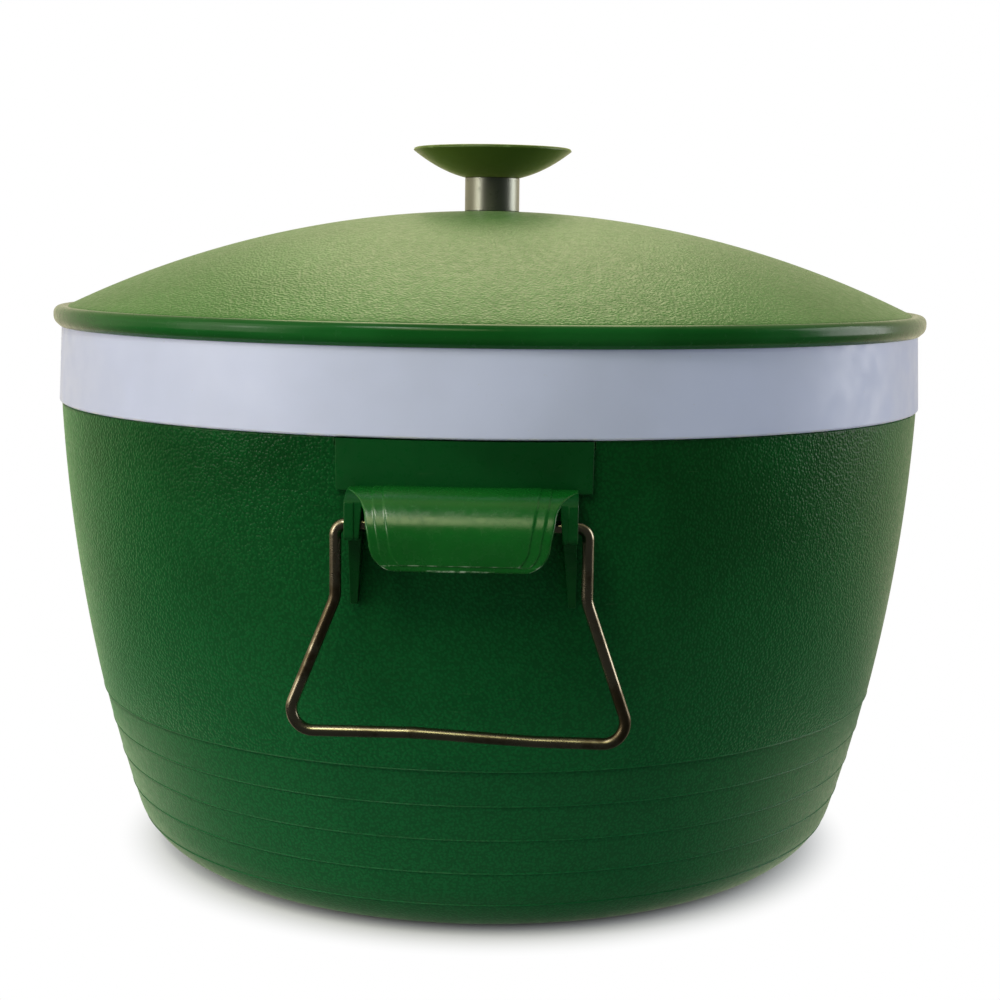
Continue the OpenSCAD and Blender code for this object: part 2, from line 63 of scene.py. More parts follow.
# corners are (across, up, radius); a radius of 0 leaves a corner sharp
def roundedLine(corners, steps=6):
    points = []
    for i, (across, up, radius) in enumerate(corners):
        corner = Vector((across, up))
        if radius == 0:
            points.append((across, up))
            continue
        back = (Vector(corners[i - 1][:2]) - corner).normalized()
        ahead = (Vector(corners[(i + 1) % len(corners)][:2]) - corner).normalized()
        half = back.angle(ahead) / 2
        centre = corner + (back + ahead).normalized() * radius / math.sin(half)
        start = corner + back * radius / math.tan(half) - centre
        end = corner + ahead * radius / math.tan(half) - centre
        bend = math.atan2(start.x * end.y - start.y * end.x, start.dot(end))
        for k in range(steps + 1):
            spoke = Matrix.Rotation(bend * k / steps, 2) @ start
            points.append(tuple(centre + spoke))
    return points


# 0 below low, 1 above high, soft in between
def ease(value, low, high):
    t = min(1.0, max(0.0, (value - low) / (high - low)))
    return t * t * (3 - 2 * t)


# segments round a turned piece, and the radius below which a point lies on the axis
turning = {"steps": 224, "axisRadius": 1e-4}


def evenAngles():
    return [2 * math.pi * k / turning["steps"] for k in range(turning["steps"])]


# for an outline that is the same all round
def allRound(outline):
    return lambda angle: outline


# spins an outline of (radius, height) round the axis; angle 0 is the front, -Y
def turnPiece(name, outlineAt, materials, pickSlot=None, angles=None):
    full = angles is None or angles[-1] - angles[0] > math.pi
    angles = angles or evenAngles()
    bm = bmesh.new()
    columns = []
    axisPoints = {}
    for angle in angles:
        column = []
        for i, (radius, height) in enumerate(outlineAt(angle)):
            if radius < turning["axisRadius"]:
                if i not in axisPoints:
                    axisPoints[i] = bm.verts.new((0, 0, height * mm))
                column.append(axisPoints[i])
            else:
                spot = Vector((radius * math.sin(angle), -radius * math.cos(angle), height))
                column.append(bm.verts.new(spot * mm))
        columns.append(column)
    count = len(columns[0])
    for k in range(len(columns) if full else len(columns) - 1):
        here, beside = columns[k], columns[(k + 1) % len(columns)]
        for i in range(count):
            j = (i + 1) % count
            corners = list(dict.fromkeys((here[i], here[j], beside[j], beside[i])))
            if len(corners) > 2:
                face = bm.faces.new(corners)
                if pickSlot:
                    face.material_index = pickSlot(face.calc_center_median() / mm)
    if not full:
        bm.faces.new(columns[0])
        bm.faces.new(columns[-1])
    return makePiece(name, bm, materials)


def makePiece(name, bm, materials, sharpDeg=38):
    bmesh.ops.recalc_face_normals(bm, faces=bm.faces)
    for face in bm.faces:
        face.smooth = True
    mesh = bpy.data.meshes.new(name)
    bm.to_mesh(mesh)
    bm.free()
    mesh.set_sharp_from_angle(angle=math.radians(sharpDeg))
    for material in materials:
        mesh.materials.append(material)
    piece = bpy.data.objects.new(name, mesh)
    bpy.context.scene.collection.objects.link(piece)
    # wide faces stay flat beside their rounded edges
    flatFaces = piece.modifiers.new("flatFaces", "WEIGHTED_NORMAL")
    flatFaces.keep_sharp = True
    flatFaces.weight = 80
    return piece


# welds a mesh made at the front, turns it to its own side and makes the piece
def placePiece(name, bm, turnDeg, materials):
    bmesh.ops.remove_doubles(bm, verts=bm.verts, dist=weldGap * mm)
    bm.transform(Matrix.Rotation(math.radians(turnDeg), 4, "Z"))
    return makePiece(name, bm, materials)


# runs a curve along lines of points and gives back its mesh
def curveMesh(curve, lines, closed):
    for line in lines:
        spline = curve.splines.new("POLY")
        spline.points.add(len(line) - 1)
        for point, spot in zip(spline.points, line):
            point.co = (*(Vector(spot) * mm), 1)
        spline.use_cyclic_u = closed
    shaped = bpy.data.objects.new(curve.name, curve)
    mesh = bpy.data.meshes.new_from_object(shaped)
    bpy.data.objects.remove(shaped)
    return mesh


# stores 1 on the points of outward edges rounded tighter than a radius, for the wear in the materials
def markEdges(piece, widest=1.3):
    bm = bmesh.new()
    bm.from_mesh(piece.data)
    worn = [0.0] * len(bm.verts)
    for edge in bm.edges:
        if len(edge.link_faces) != 2:
            continue
        bend = edge.calc_face_angle_signed(0.0)
        first, second = edge.link_faces
        span = (first.calc_center_median() - second.calc_center_median()).length
        if bend * widest * mm > span:
            for vert in edge.verts:
                worn[vert.index] = 1.0
    bm.free()
    piece.data.attributes.new("edge", "FLOAT", "POINT").data.foreach_set("value", worn)


def dressPiece(piece, body, node):
    markEdges(piece)
    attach(piece, body)
    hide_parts(node)


# node helpers for the materials; an input takes a link from a socket, or a plain value
def setSockets(tree, node, sockets):
    for key, value in sockets.items():
        if isinstance(value, bpy.types.NodeSocket):
            tree.links.new(value, node.inputs[key])
        else:
            node.inputs[key].default_value = value


def addNode(tree, kind, sockets=None, **options):
    made = tree.nodes.new("ShaderNode" + kind)
    for key, value in options.items():
        setattr(made, key, value)
    setSockets(tree, made, sockets or {})
    return made


def newMaterial(name):
    material = bpy.data.materials.new(name)
    material.use_nodes = True
    tree = material.node_tree
    place = addNode(tree, "TexCoord").outputs["Object"]
    return material, tree, tree.nodes["Principled BSDF"], place


def noise(tree, place, scale, detail=2.0, rough=0.5):
    sockets = {"Vector": place, "Scale": scale, "Detail": detail, "Roughness": rough}
    return addNode(tree, "TexNoise", sockets).outputs["Fac"]


def stretched(tree, place, scale):
    return addNode(tree, "Mapping", {"Vector": place, "Scale": scale}).outputs["Vector"]


def ranged(tree, value, low, high, toLow=0.0, toHigh=1.0):
    sockets = {"Value": value, "From Min": low, "From Max": high, "To Min": toLow, "To Max": toHigh}
    return addNode(tree, "MapRange", sockets, interpolation_type="SMOOTHSTEP").outputs["Result"]


def times(tree, first, second):
    return addNode(tree, "Math", {0: first, 1: second}, operation="MULTIPLY").outputs[0]


def mixColour(tree, amount, first, second):
    return addNode(tree, "Mix", {0: amount, 6: first, 7: second}, data_type="RGBA").outputs[2]


def bump(tree, height, depth, strength, under=None):
    sockets = {"Height": height, "Distance": depth * mm, "Strength": strength}
    if under is not None:
        sockets["Normal"] = under
    return addNode(tree, "Bump", sockets).outputs["Normal"]


def perMm(size):
    return 1.0 / (size * mm)


# green plastic: grained or smooth, with cloudy colour, pale rubbed edges and fine scuffs
greenLooks = {
    "grained": {"deep": (0.0011, 0.0415, 0.0073, 1), "fresh": (0.0019, 0.0565, 0.0108, 1),
                "low": (0.0038, 0.105, 0.0285, 1), "crease": 0.28, "rough": (0.28, 0.40),
                "pebble": 0.85, "pebbleDepth": 0.15, "pebbleStrength": 0.7, "gloss": 0.03, "polish": 0.08,
                "sheen": 0.30, "sheenTint": (0.22, 0.95, 0.26, 1), "lowTint": (0.55, 0.95, 0.58, 1),
                "rubbed": (0.10, 0.20, 0.09, 1), "rub": 0.25},
    "ringed": {"deep": (0.0012, 0.042, 0.0075, 1), "fresh": (0.0020, 0.057, 0.0110, 1),
               "low": (0.0037, 0.103, 0.0280, 1), "crease": 0.28, "rough": (0.30, 0.42),
               "pebble": 0.8, "pebbleDepth": 0.07, "pebbleStrength": 0.5, "gloss": 0.07,
               "sheen": 0.30, "sheenTint": (0.22, 0.95, 0.26, 1), "lowTint": (0.55, 0.95, 0.58, 1),
               "rubbed": (0.05, 0.16, 0.07, 1), "rub": 0.15},
    # painted light: the dome is the bead's dark green, made lighter and yellower as if lit by warm light
    # from above and behind
    "domed": {"deep": (0.028, 0.138, 0.017, 1), "fresh": (0.037, 0.160, 0.024, 1),
              "crease": 0.20, "rough": (0.34, 0.46),
              "pebble": 0.85, "pebbleDepth": 0.17, "pebbleStrength": 0.6, "gloss": 0.24,
              "sheen": 0.14, "sheenTint": (0.80, 0.82, 0.44, 1),
              "rubbed": (0.12, 0.24, 0.10, 1), "rub": 0.05},
    "bead": {"deep": (0.0045, 0.066, 0.009, 1), "fresh": (0.0070, 0.082, 0.013, 1), "rough": (0.18, 0.28),
             "pebble": 2.5, "gloss": 0.14, "rubbed": (0.10, 0.24, 0.10, 1), "rub": 0.10},
    # painted reflected light: the saucer is dark green, given an olive colour for the warm light the dome
    # throws on it
    "saucer": {"deep": (0.044, 0.079, 0.0094, 1), "fresh": (0.058, 0.101, 0.0128, 1),
               "rough": (0.30, 0.42), "pebble": 2.5, "gloss": 0.20,
               "sheen": 0.36, "sheenTint": (0.75, 0.85, 0.20, 1),
               "rubbed": (0.22, 0.30, 0.12, 1), "rub": 0.35},
    # painted light: a lighter copy of the plate's green, for the hood that stands out in the light
    "hooded": {"deep": (0.0018, 0.065, 0.0065, 1), "fresh": (0.0034, 0.092, 0.0095, 1),
               "rough": (0.20, 0.30), "pebble": 1.8, "gloss": 0.40,
               "rubbed": (0.36, 0.46, 0.34, 1), "rub": 0.85},
    "plated": {"deep": (0.0010, 0.041, 0.0064, 1), "fresh": (0.0018, 0.056, 0.0096, 1),
               "rough": (0.26, 0.36), "pebble": 1.8, "gloss": 0.16,
               "rubbed": (0.18, 0.30, 0.16, 1), "rub": 0.5},
}
# what every green has, unless its own look says otherwise; the crease colour is painted shade
greenShared = {"pebbleDepth": 0.012, "pebbleStrength": 0.3, "pebbleSoft": 0.6, "fineSize": 2.2,
               "fineShare": 0.6, "cloudSize": 38, "brokenSize": 3.2, "scuffSize": 1.1,
               "scuffStretch": (0.12, 0.12, 1.0), "scuff": 0.08, "creaseColour": (0, 0, 0, 1),
               "sheenRough": 0.45, "polishRough": 0.07}
# painted bounce light from the floor: the lighter low colour and the paler low sheen tint
paintedBounceZone = (10, 150)  # heights between which the barrel's colour goes from light, low down, to deep


def greenPlastic(look):
    spec = {**greenShared, **greenLooks[look]}
    material, tree, shader, place = newMaterial(look + "Green")
    clouds = noise(tree, place, perMm(spec["cloudSize"]), 3.0)
    fine = noise(tree, place, perMm(spec["fineSize"]), 4.0, 0.6)
    colour = mixColour(tree, ranged(tree, clouds, 0.36, 0.64), spec["deep"], spec["fresh"])
    # painted bounce light: the barrel's green is lighter low down, near the floor
    if "low" in spec:
        height = addNode(tree, "SeparateXYZ", {0: place}).outputs["Z"]
        paintedBounceShare = ranged(tree, height, paintedBounceZone[0] * mm, paintedBounceZone[1] * mm, 1.0, 0.0)
        colour = mixColour(tree, paintedBounceShare, colour, spec["low"])
    # soft pebbles, with painted shade darkening the creases between them on the grained pieces
    pebbleSockets = {"Vector": place, "Scale": perMm(spec["pebble"]), "Smoothness": spec["pebbleSoft"]}
    cells = addNode(tree, "TexVoronoi", pebbleSockets, feature="SMOOTH_F1").outputs["Distance"]
    pebbles = ranged(tree, cells, 0.1, 0.75, 1.0, 0.0)
    if "crease" in spec:
        paintedCreaseShade = ranged(tree, cells, 0.30, 0.62, 0.0, spec["crease"])
        colour = mixColour(tree, paintedCreaseShade, colour, spec["creaseColour"])
    # edges rub pale in short broken runs
    edge = addNode(tree, "Attribute", attribute_name="edge").outputs["Fac"]
    runs = noise(tree, place, perMm(spec["brokenSize"]), 4.0, 0.65)
    broken = ranged(tree, runs, 0.46, 0.66, 0.05, 1.0)
    rubbing = times(tree, times(tree, edge, broken), spec["rub"])
    colour = mixColour(tree, rubbing, colour, spec["rubbed"])
    # hair scuffs: thin and long, lying about level
    scuffPlace = stretched(tree, place, spec["scuffStretch"])
    hairs = noise(tree, scuffPlace, perMm(spec["scuffSize"]), 2.0)
    scuffs = ranged(tree, hairs, 0.70, 0.80, 0.0, spec["scuff"])
    colour = mixColour(tree, scuffs, colour, spec["rubbed"])
    rough = ranged(tree, fine, 0.3, 0.7, *spec["rough"])
    depth, strength = spec["pebbleDepth"], spec["pebbleStrength"]
    normal = bump(tree, pebbles, depth, strength)
    normal = bump(tree, fine, depth * spec["fineShare"], strength * spec["fineShare"], normal)
    setSockets(tree, shader, {"Base Color": colour, "Roughness": rough, "Normal": normal,
                              "Specular IOR Level": spec["gloss"]})
    if "sheen" in spec:
        tint = spec["sheenTint"]
        # painted reflection: the sheen goes paler low down, near the floor
        if "low" in spec:
            tint = mixColour(tree, paintedBounceShare, spec["sheenTint"], spec["lowTint"])
        setSockets(tree, shader, {"Sheen Weight": spec["sheen"], "Sheen Roughness": spec["sheenRough"],
                                  "Sheen Tint": tint})
    # a thin polish on the tops of the grain, which glints
    if "polish" in spec:
        setSockets(tree, shader, {"Coat Weight": spec["polish"], "Coat Roughness": spec["polishRough"],
                                  "Coat Normal": normal})
    return material


# white plastic: cloudy, with dark specks, rubbed edges and faint level lines
# the clean and dull colours are white plastic with cool bluish shade painted in
whiteLook = {"clean": (0.488, 0.520, 0.710, 1), "dull": (0.452, 0.482, 0.652, 1), "cloudSize": 45,
             "speck": (0.42, 0.43, 0.46, 1), "speckSize": 0.8, "speckShade": 0.5,
             "rubbed": (0.60, 0.60, 0.62, 1), "rubSize": 5, "rub": (0.1, 0.7),
             "lineSize": 0.9, "lineStretch": (0.02, 0.02, 1.0), "lineDepth": 0.012, "lineStrength": 0.5,
             "rough": (0.38, 0.52), "roughSize": 7, "gloss": 0.4}


def whitePlastic():
    spec = whiteLook
    material, tree, shader, place = newMaterial("whitePlastic")
    clouds = noise(tree, place, perMm(spec["cloudSize"]), 3.0)
    colour = mixColour(tree, ranged(tree, clouds, 0.35, 0.65), spec["clean"], spec["dull"])
    dots = noise(tree, place, perMm(spec["speckSize"]), 1.0)
    specks = ranged(tree, dots, 0.76, 0.82, 0.0, spec["speckShade"])
    colour = mixColour(tree, specks, colour, spec["speck"])
    edge = addNode(tree, "Attribute", attribute_name="edge").outputs["Fac"]
    broken = ranged(tree, noise(tree, place, perMm(spec["rubSize"]), 4.0), 0.4, 0.7, *spec["rub"])
    colour = mixColour(tree, times(tree, edge, broken), colour, spec["rubbed"])
    # the level lines are left by the turned mould
    linePlace = stretched(tree, place, spec["lineStretch"])
    lines = noise(tree, linePlace, perMm(spec["lineSize"]), 2.0)
    normal = bump(tree, lines, spec["lineDepth"], spec["lineStrength"])
    rough = ranged(tree, noise(tree, place, perMm(spec["roughSize"]), 4.0), 0.3, 0.7, *spec["rough"])
    setSockets(tree, shader, {"Base Color": colour, "Roughness": rough, "Normal": normal,
                              "Specular IOR Level": spec["gloss"]})
    return material


# bare metal: stains in patches, and fine lines drawn along the piece
metalLooks = {
    "chrome": {"bright": (0.195, 0.203, 0.175, 1), "stain": (0.14, 0.15, 0.130, 1),
               "rough": (0.36, 0.46), "stainSize": 2.6, "stainFrom": 0.56,
               "drawn": (1.0, 1.0, 0.06), "drawnSize": 0.5, "drawnDepth": 0.004},
    "wireSteel": {"bright": (0.24, 0.210, 0.155, 1), "stain": (0.085, 0.066, 0.040, 1),
                  "rough": (0.26, 0.36), "stainSize": 14.0, "stainFrom": 0.42,
                  "drawn": (0.25, 1.0, 0.25), "drawnSize": 0.5, "drawnDepth": 0.010},
    "zincSteel": {"bright": (0.56, 0.56, 0.56, 1), "stain": (0.38, 0.38, 0.36, 1),
                  "rough": (0.30, 0.48), "stainSize": 1.6, "stainFrom": 0.46,
                  "drawn": (1.0, 1.0, 1.0), "drawnSize": 0.4, "drawnDepth": 0.008},
}
metalShared = {"stainSoft": 0.2, "drawnStrength": 0.5}


def bareMetal(look):
    spec = {**metalShared, **metalLooks[look]}
    material, tree, shader, place = newMaterial(look)
    patches = noise(tree, place, perMm(spec["stainSize"]), 5.0, 0.62)
    stain = ranged(tree, patches, spec["stainFrom"], spec["stainFrom"] + spec["stainSoft"])
    colour = mixColour(tree, stain, spec["bright"], spec["stain"])
    lines = noise(tree, stretched(tree, place, spec["drawn"]), perMm(spec["drawnSize"]), 3.0)
    rough = ranged(tree, stain, 0.0, 1.0, *spec["rough"])
    normal = bump(tree, lines, spec["drawnDepth"], spec["drawnStrength"])
    setSockets(tree, shader, {"Base Color": colour, "Metallic": 1.0, "Roughness": rough,
                              "Normal": normal})
    return material


# foam: pressed beads with seams between them
foamLook = {"bead": 3.4, "pale": (0.86, 0.85, 0.80, 1), "seam": (0.70, 0.68, 0.61, 1), "seamWidth": 0.25,
            "depth": 0.35, "strength": 0.7, "rough": (0.95, 0.75)}


def beadFoam():
    spec = foamLook
    material, tree, shader, place = newMaterial("beadFoam")
    cells = addNode(tree, "TexVoronoi", {"Vector": place, "Scale": perMm(spec["bead"])},
                    feature="DISTANCE_TO_EDGE")
    swell = ranged(tree, cells.outputs["Distance"], 0.0, spec["seamWidth"])
    colour = mixColour(tree, swell, spec["seam"], spec["pale"])
    normal = bump(tree, swell, spec["depth"], spec["strength"])
    rough = ranged(tree, swell, 0.0, 1.0, *spec["rough"])
    setSockets(tree, shader, {"Base Color": colour, "Roughness": rough, "Normal": normal})
    return material


grainedGreen = greenPlastic("grained")
domedGreen = greenPlastic("domed")
ringedGreen = greenPlastic("ringed")
beadGreen = greenPlastic("bead")
paintedWarmSaucerGreen = greenPlastic("saucer")
paintedLitHoodGreen = greenPlastic("hooded")
plateGreen = greenPlastic("plated")
whiteMoulding = whitePlastic()
chrome = bareMetal("chrome")
wireSteel = bareMetal("wireSteel")
zincSteel = bareMetal("zincSteel")
foam = beadFoam()
print("materials made:", len(bpy.data.materials))


# the barrel: a slow curve, five step rings low down, a shoulder and a neck behind the collar
barrel = {"curve": 550.0, "upright": 170.6, "collarEdge": 149.4, "collarGap": 0.3, "wall": 2.4,
          "floor": 3.0, "shoulder": 5.0, "corner": 22.5, "footWidth": 6.0, "footHeight": 2.0,
          "footEdges": (0.6, 0.5), "rings": 5, "ringPitch": 10.9, "ringLow": 11.4, "topStep": 0.4,
          "step": 0.2, "lip": 0.16, "lipHeight": 0.36, "lipShape": ((0.5, 0.0), (1.0, 0.3), (0.7, 0.65)),
          "neck": 137.7, "notchDrop": 1.9, "notchDeg": 0.3, "edge": 0.35, "hair": 0.01,
          "wallSteps": 60, "cornerSteps": 20, "innerSteps": 14}
shellLow, shellHigh = nodeBox("outer_shell")
shoulderTop = barrel["collarEdge"] - barrel["collarGap"]
floorTop = barrel["footHeight"] + barrel["floor"]
allSteps = barrel["topStep"] + (barrel["rings"] - 1) * barrel["step"]
ringHeights = [barrel["ringLow"] + i * barrel["ringPitch"] for i in range(barrel["rings"])]


# depth of the curve inside its widest, at a height
def curveInset(height):
    return barrel["curve"] - math.sqrt(barrel["curve"] ** 2 - (barrel["upright"] - height) ** 2)


wallRadius = shellHigh.x + curveInset(shoulderTop)


def barrelAt(height):
    return wallRadius - curveInset(height)


barrelRadius = barrelAt(barrel["collarEdge"])


# centre of a corner that touches the barrel's curve, set in by inset, and the level plane at height
def cornerCentre(radius, inset, height):
    reach = barrel["curve"] - inset - radius
    drop = barrel["upright"] - height - radius
    return wallRadius - barrel["curve"] + math.sqrt(reach ** 2 - drop ** 2), height + radius


def cornerAngle(centre):
    out = centre[0] - wallRadius + barrel["curve"]
    return -math.degrees(math.atan2(barrel["upright"] - centre[1], out))


baseCentre = cornerCentre(barrel["corner"], 0, 0)
baseAngle = cornerAngle(baseCentre)
baseTangent = baseCentre[1] + barrel["corner"] * math.sin(math.radians(baseAngle))
ringAngle = math.degrees(math.asin((barrel["ringLow"] - baseCentre[1]) / barrel["corner"]))
footRadius = baseCentre[0] - allSteps


# the outside without the ring steps: the base corner, and the wall's curve above it
def outsideAt(height):
    if height >= baseTangent:
        return barrelAt(height)
    return baseCentre[0] + math.sqrt(barrel["corner"] ** 2 - (baseCentre[1] - height) ** 2)


# how far the wall is set in by the steps above a height
def stepInset(height):
    above = [i for i, ring in enumerate(ringHeights) if ring > height]
    if not above:
        return 0.0
    return barrel["topStep"] + (len(above) - 1) * barrel["step"]


# wall points going up from the lowest ring; each ring ends the band above it in a fine rounded lip
def wallLine(high, inset, lips):
    low = ringHeights[0]
    tall, hair = barrel["lipHeight"], barrel["hair"]
    clear = 1.2 * tall  # the even points keep this far from a ring
    heights = [low + (high - low) * i / barrel["wallSteps"] for i in range(barrel["wallSteps"] + 1)]
    points = [(outsideAt(z) - stepInset(z) - inset, z) for z in heights
              if min(abs(z - ring) for ring in ringHeights) > clear]
    for ring in ringHeights:
        under = outsideAt(ring) - stepInset(ring - hair) - inset
        over = outsideAt(ring) - stepInset(ring + hair) - inset
        points.append((under, ring - 2 * hair))
        if lips:
            points += [(over + out * barrel["lip"], ring + up * tall) for out, up in barrel["lipShape"]]
        points.append((over, ring + tall))
    return sorted(points, key=lambda point: point[1])


gripPlate = {"width": 69.0, "height": 14.5, "thick": 1.5, "hug": 0.1, "edge": 0.45, "tongue": 9.0,
             "steps": 40, "rows": 6, "edgeSteps": 4, "endShares": (0.0, 0.12, 0.35, 0.65, 1.0)}
plateAngle = math.asin(gripPlate["width"] / 2 / barrelRadius)


# the shoulder is cut down under each grip's plate
def shellOutline(angle):
    fromGrip = abs((angle + math.pi / 2) % math.pi - math.pi / 2)
    drop = barrel["notchDrop"] if fromGrip < plateAngle + math.radians(barrel["notchDeg"]) else 0.0
    ledge = shoulderTop - drop
    edge = barrel["edge"]
    neckIn = barrel["neck"] - barrel["wall"]
    shoulderLow = shoulderTop - barrel["shoulder"]
    outside = wallLine(shoulderTop - barrel["notchDrop"] - edge, 0.0, True)
    innerRadius = barrel["corner"] - barrel["wall"]
    innerCorner = arcLine((footRadius, floorTop + innerRadius), innerRadius, baseAngle, -90,
                          barrel["innerSteps"])
    # the wall's own points stop clear of the corner's
    inside = [point for point in wallLine(shoulderLow, barrel["wall"], False)
              if point[1] > innerCorner[0][1] + 0.5]
    footIn = footRadius - barrel["footWidth"]
    footUp = barrel["footHeight"]
    upperEdge, lowerEdge = barrel["footEdges"]
    line = [(0.0, footUp)]
    line += roundedLine([(footIn - 2 * footUp, footUp, 0), (footIn - footUp, footUp, upperEdge),
                         (footIn, 0.0, lowerEdge), (footRadius, 0.0, 0)])
    line += arcLine((footRadius, barrel["corner"]), barrel["corner"], -90, ringAngle,
                    barrel["cornerSteps"])[1:-1]
    line += outside
    # the ledge's outer edge is softened by one point between its two ends
    line += [(barrelAt(ledge - edge), ledge - edge), (barrelAt(ledge) - 0.3 * edge, ledge - 0.3 * edge),
             (barrelAt(ledge) - edge, ledge), (barrel["neck"], ledge), (barrel["neck"], shellHigh.z),
             (neckIn, shellHigh.z), (neckIn, shoulderLow)]
    line += inside[::-1]
    line += innerCorner
    line.append((0.0, floorTop))
    return line


# even angles, and a pair close together at each end of the two notches
def shellAngles():
    angles = evenAngles()
    for grip in (0, math.pi):
        for side in (-1, 1):
            for nudge in (-barrel["hair"], barrel["hair"]):
                notchEnd = plateAngle + math.radians(barrel["notchDeg"] + nudge)
                angles.append((grip + side * notchEnd) % (2 * math.pi))
    return sorted(angles)


def pickShell(spot):
    return 0 if spot.z > ringHeights[-1] + barrel["lipHeight"] else 1


shellGreens = [grainedGreen, ringedGreen]
outerShell = turnPiece("outerShell", shellOutline, shellGreens, pickShell, shellAngles())
dressPiece(outerShell, "bucket", "outer_shell")
print("barrel turned:", len(outerShell.data.polygons), "faces")


# the liner: the inner bucket, its rim, and the collar folded down outside
liner = {"foam": 10.0, "wall": 2.0, "corner": 20.0, "rimEdge": 0.9, "rimThick": 2.6, "mouthStraight": 3.0,
         "collarDraft": 1.3, "collarWall": 2.0, "collarEdge": 0.75, "collarInnerEdge": 0.5,
         "ribHeight": 5.0, "ribWidth": 1.8, "seam": 0.2, "steps": 30, "cornerSteps": 14}
linerLow, linerHigh = nodeBox("inner_liner")
rimTop = linerHigh.z
collarLow = linerHigh.x
collarTop = collarLow - liner["collarDraft"]
linerInset = barrel["wall"] + liner["foam"] + liner["wall"]
mouthRadius = barrelRadius - linerInset
linerFloor = linerLow.z + liner["wall"]
linerCentre = cornerCentre(liner["corner"], linerInset, linerFloor)
linerAngle = cornerAngle(linerCentre)


# wall of the inner bucket, or one parallel to it set out by out, from the floor to the mouth
def linerLine(out):
    radius = liner["corner"] + out
    tangent = linerCentre[1] + radius * math.sin(math.radians(linerAngle))
    reach = barrel["curve"] - linerInset + out
    points = [(0.0, linerFloor - out)]
    points += arcLine(linerCentre, radius, -90, linerAngle, liner["cornerSteps"])
    for i in range(1, liner["steps"] + 1):
        height = tangent + (barrel["collarEdge"] - tangent) * i / liner["steps"]
        across = math.sqrt(reach ** 2 - (barrel["upright"] - height) ** 2)
        points.append((wallRadius - barrel["curve"] + across, height))
    return points


def linerOutline():
    under = rimTop - liner["rimThick"]
    ribOut = barrel["neck"] - barrel["wall"] - liner["seam"]
    ribIn = ribOut - liner["ribWidth"]
    ribLow = under - liner["ribHeight"]
    line = linerLine(0.0)
    line += roundedLine([(mouthRadius, rimTop - liner["mouthStraight"], 0),
                         (mouthRadius, rimTop, liner["rimEdge"]), (collarTop, rimTop, liner["rimEdge"]),
                         (collarLow, barrel["collarEdge"], liner["collarEdge"]),
                         (collarLow - liner["collarWall"], barrel["collarEdge"], liner["collarInnerEdge"]),
                         (collarTop - liner["collarWall"], under, 0), (ribOut, under, 0),
                         (ribOut, ribLow, 0), (ribIn, ribLow, 0), (ribIn, under, 0),
                         (mouthRadius + liner["wall"], under, 0)])
    return line + linerLine(liner["wall"])[::-1]


whiteLiner = turnPiece("whiteLiner", allRound(linerOutline()), [whiteMoulding])
dressPiece(whiteLiner, "bucket", "inner_liner")
print("liner and collar turned:", len(whiteLiner.data.polygons), "faces")


# the lid: a grained dome inside a smooth glossy bead
lid = {"bandWidth": 4.7, "rise": 32.4, "wall": 2.4, "seatGap": 0.25, "flange": 2.3, "lipWidth": 2.25,
       "lipEdge": 0.25, "topEdge": 2.38, "topFromDeg": 120, "slopeRadius": 3.2, "slopeToDeg": -50,
       "seatRadius": 10.8, "screwHole": 2.4, "washerSeat": 9.2, "washerDrop": 0.3, "snapIn": 133.8,
       "snapOut": 135.4, "snapGap": 0.2, "groove": 0.35, "grooveIn": 0.2, "grooveOut": 0.1,
       "domeSteps": 48, "topSteps": 18, "slopeSteps": 12}
lidLow, lidHigh = nodeBox("lid_cover")
lidRadius = lidHigh.x
lidSeat = rimTop + lid["seatGap"]
domeEdge = lidRadius - lid["bandWidth"]
bandTop = lidSeat + lid["flange"]
domeBall = (domeEdge ** 2 + lid["rise"] ** 2) / (2 * lid["rise"])
domeCentre = bandTop + lid["rise"] - domeBall


def domeAt(radius, depth=0.0):
    return domeCentre + math.sqrt((domeBall - depth) ** 2 - radius ** 2)


def domeLine(start, end, depth):
    radii = [start + (end - start) * i / lid["domeSteps"] for i in range(lid["domeSteps"] + 1)]
    return [(radius, domeAt(radius, depth)) for radius in radii]


def lidOutline():
    seat = domeAt(lid["seatRadius"])
    lipIn = lidRadius - lid["lipWidth"]
    lipEdge, topEdge, slope = lid["lipEdge"], lid["topEdge"], lid["slopeRadius"]
    topCentre = (lidRadius - topEdge, bandTop - topEdge)
    slopeCentre = (lidRadius - slope, lidLow.z + slope)
    domeIn = math.sqrt((domeBall - lid["wall"]) ** 2 - (lidSeat - domeCentre) ** 2)
    washerSeat = domeAt(0.0, lid["wall"]) - lid["washerDrop"]
    line = [(lid["screwHole"], seat)]
    line += domeLine(lid["seatRadius"], domeEdge - lid["grooveIn"], 0.0)
    # a shallow groove parts the dome from the rolled bead
    line.append((domeEdge + lid["grooveOut"], bandTop - lid["groove"]))
    line += arcLine(topCentre, topEdge, lid["topFromDeg"], 0, lid["topSteps"])
    line += arcLine(slopeCentre, slope, 0, lid["slopeToDeg"], lid["slopeSteps"])
    line += [(lipIn + lipEdge, lidLow.z), (lipIn, lidLow.z + lipEdge), (lipIn, lidSeat)]
    line += domeLine(domeIn, lid["snapOut"], lid["wall"])
    line += [(lid["snapOut"], lidSeat + lid["snapGap"]), (lid["snapIn"], lidSeat + lid["snapGap"])]
    line += domeLine(lid["snapIn"], lid["washerSeat"], lid["wall"])
    line += [(lid["washerSeat"], washerSeat), (lid["screwHole"], washerSeat)]
    return line


def pickLid(spot):
    out = math.hypot(spot.x, spot.y)
    return 0 if out < domeEdge and spot.z > domeAt(out, lid["wall"] / 2) else 1


lidCover = turnPiece("lidCover", allRound(lidOutline()), [domedGreen, beadGreen], pickLid)
dressPiece(lidCover, "lid", "lid_cover")

# the white pan under the lid, which plugs the mouth
pan = {"wall": 1.8, "corner": 4.0, "flange": 6.0, "edge": 0.4, "flangeEdge": 0.3, "steps": 8}
panLow, panHigh = nodeBox("lid_liner")
panRadius = panHigh.x - pan["flange"]


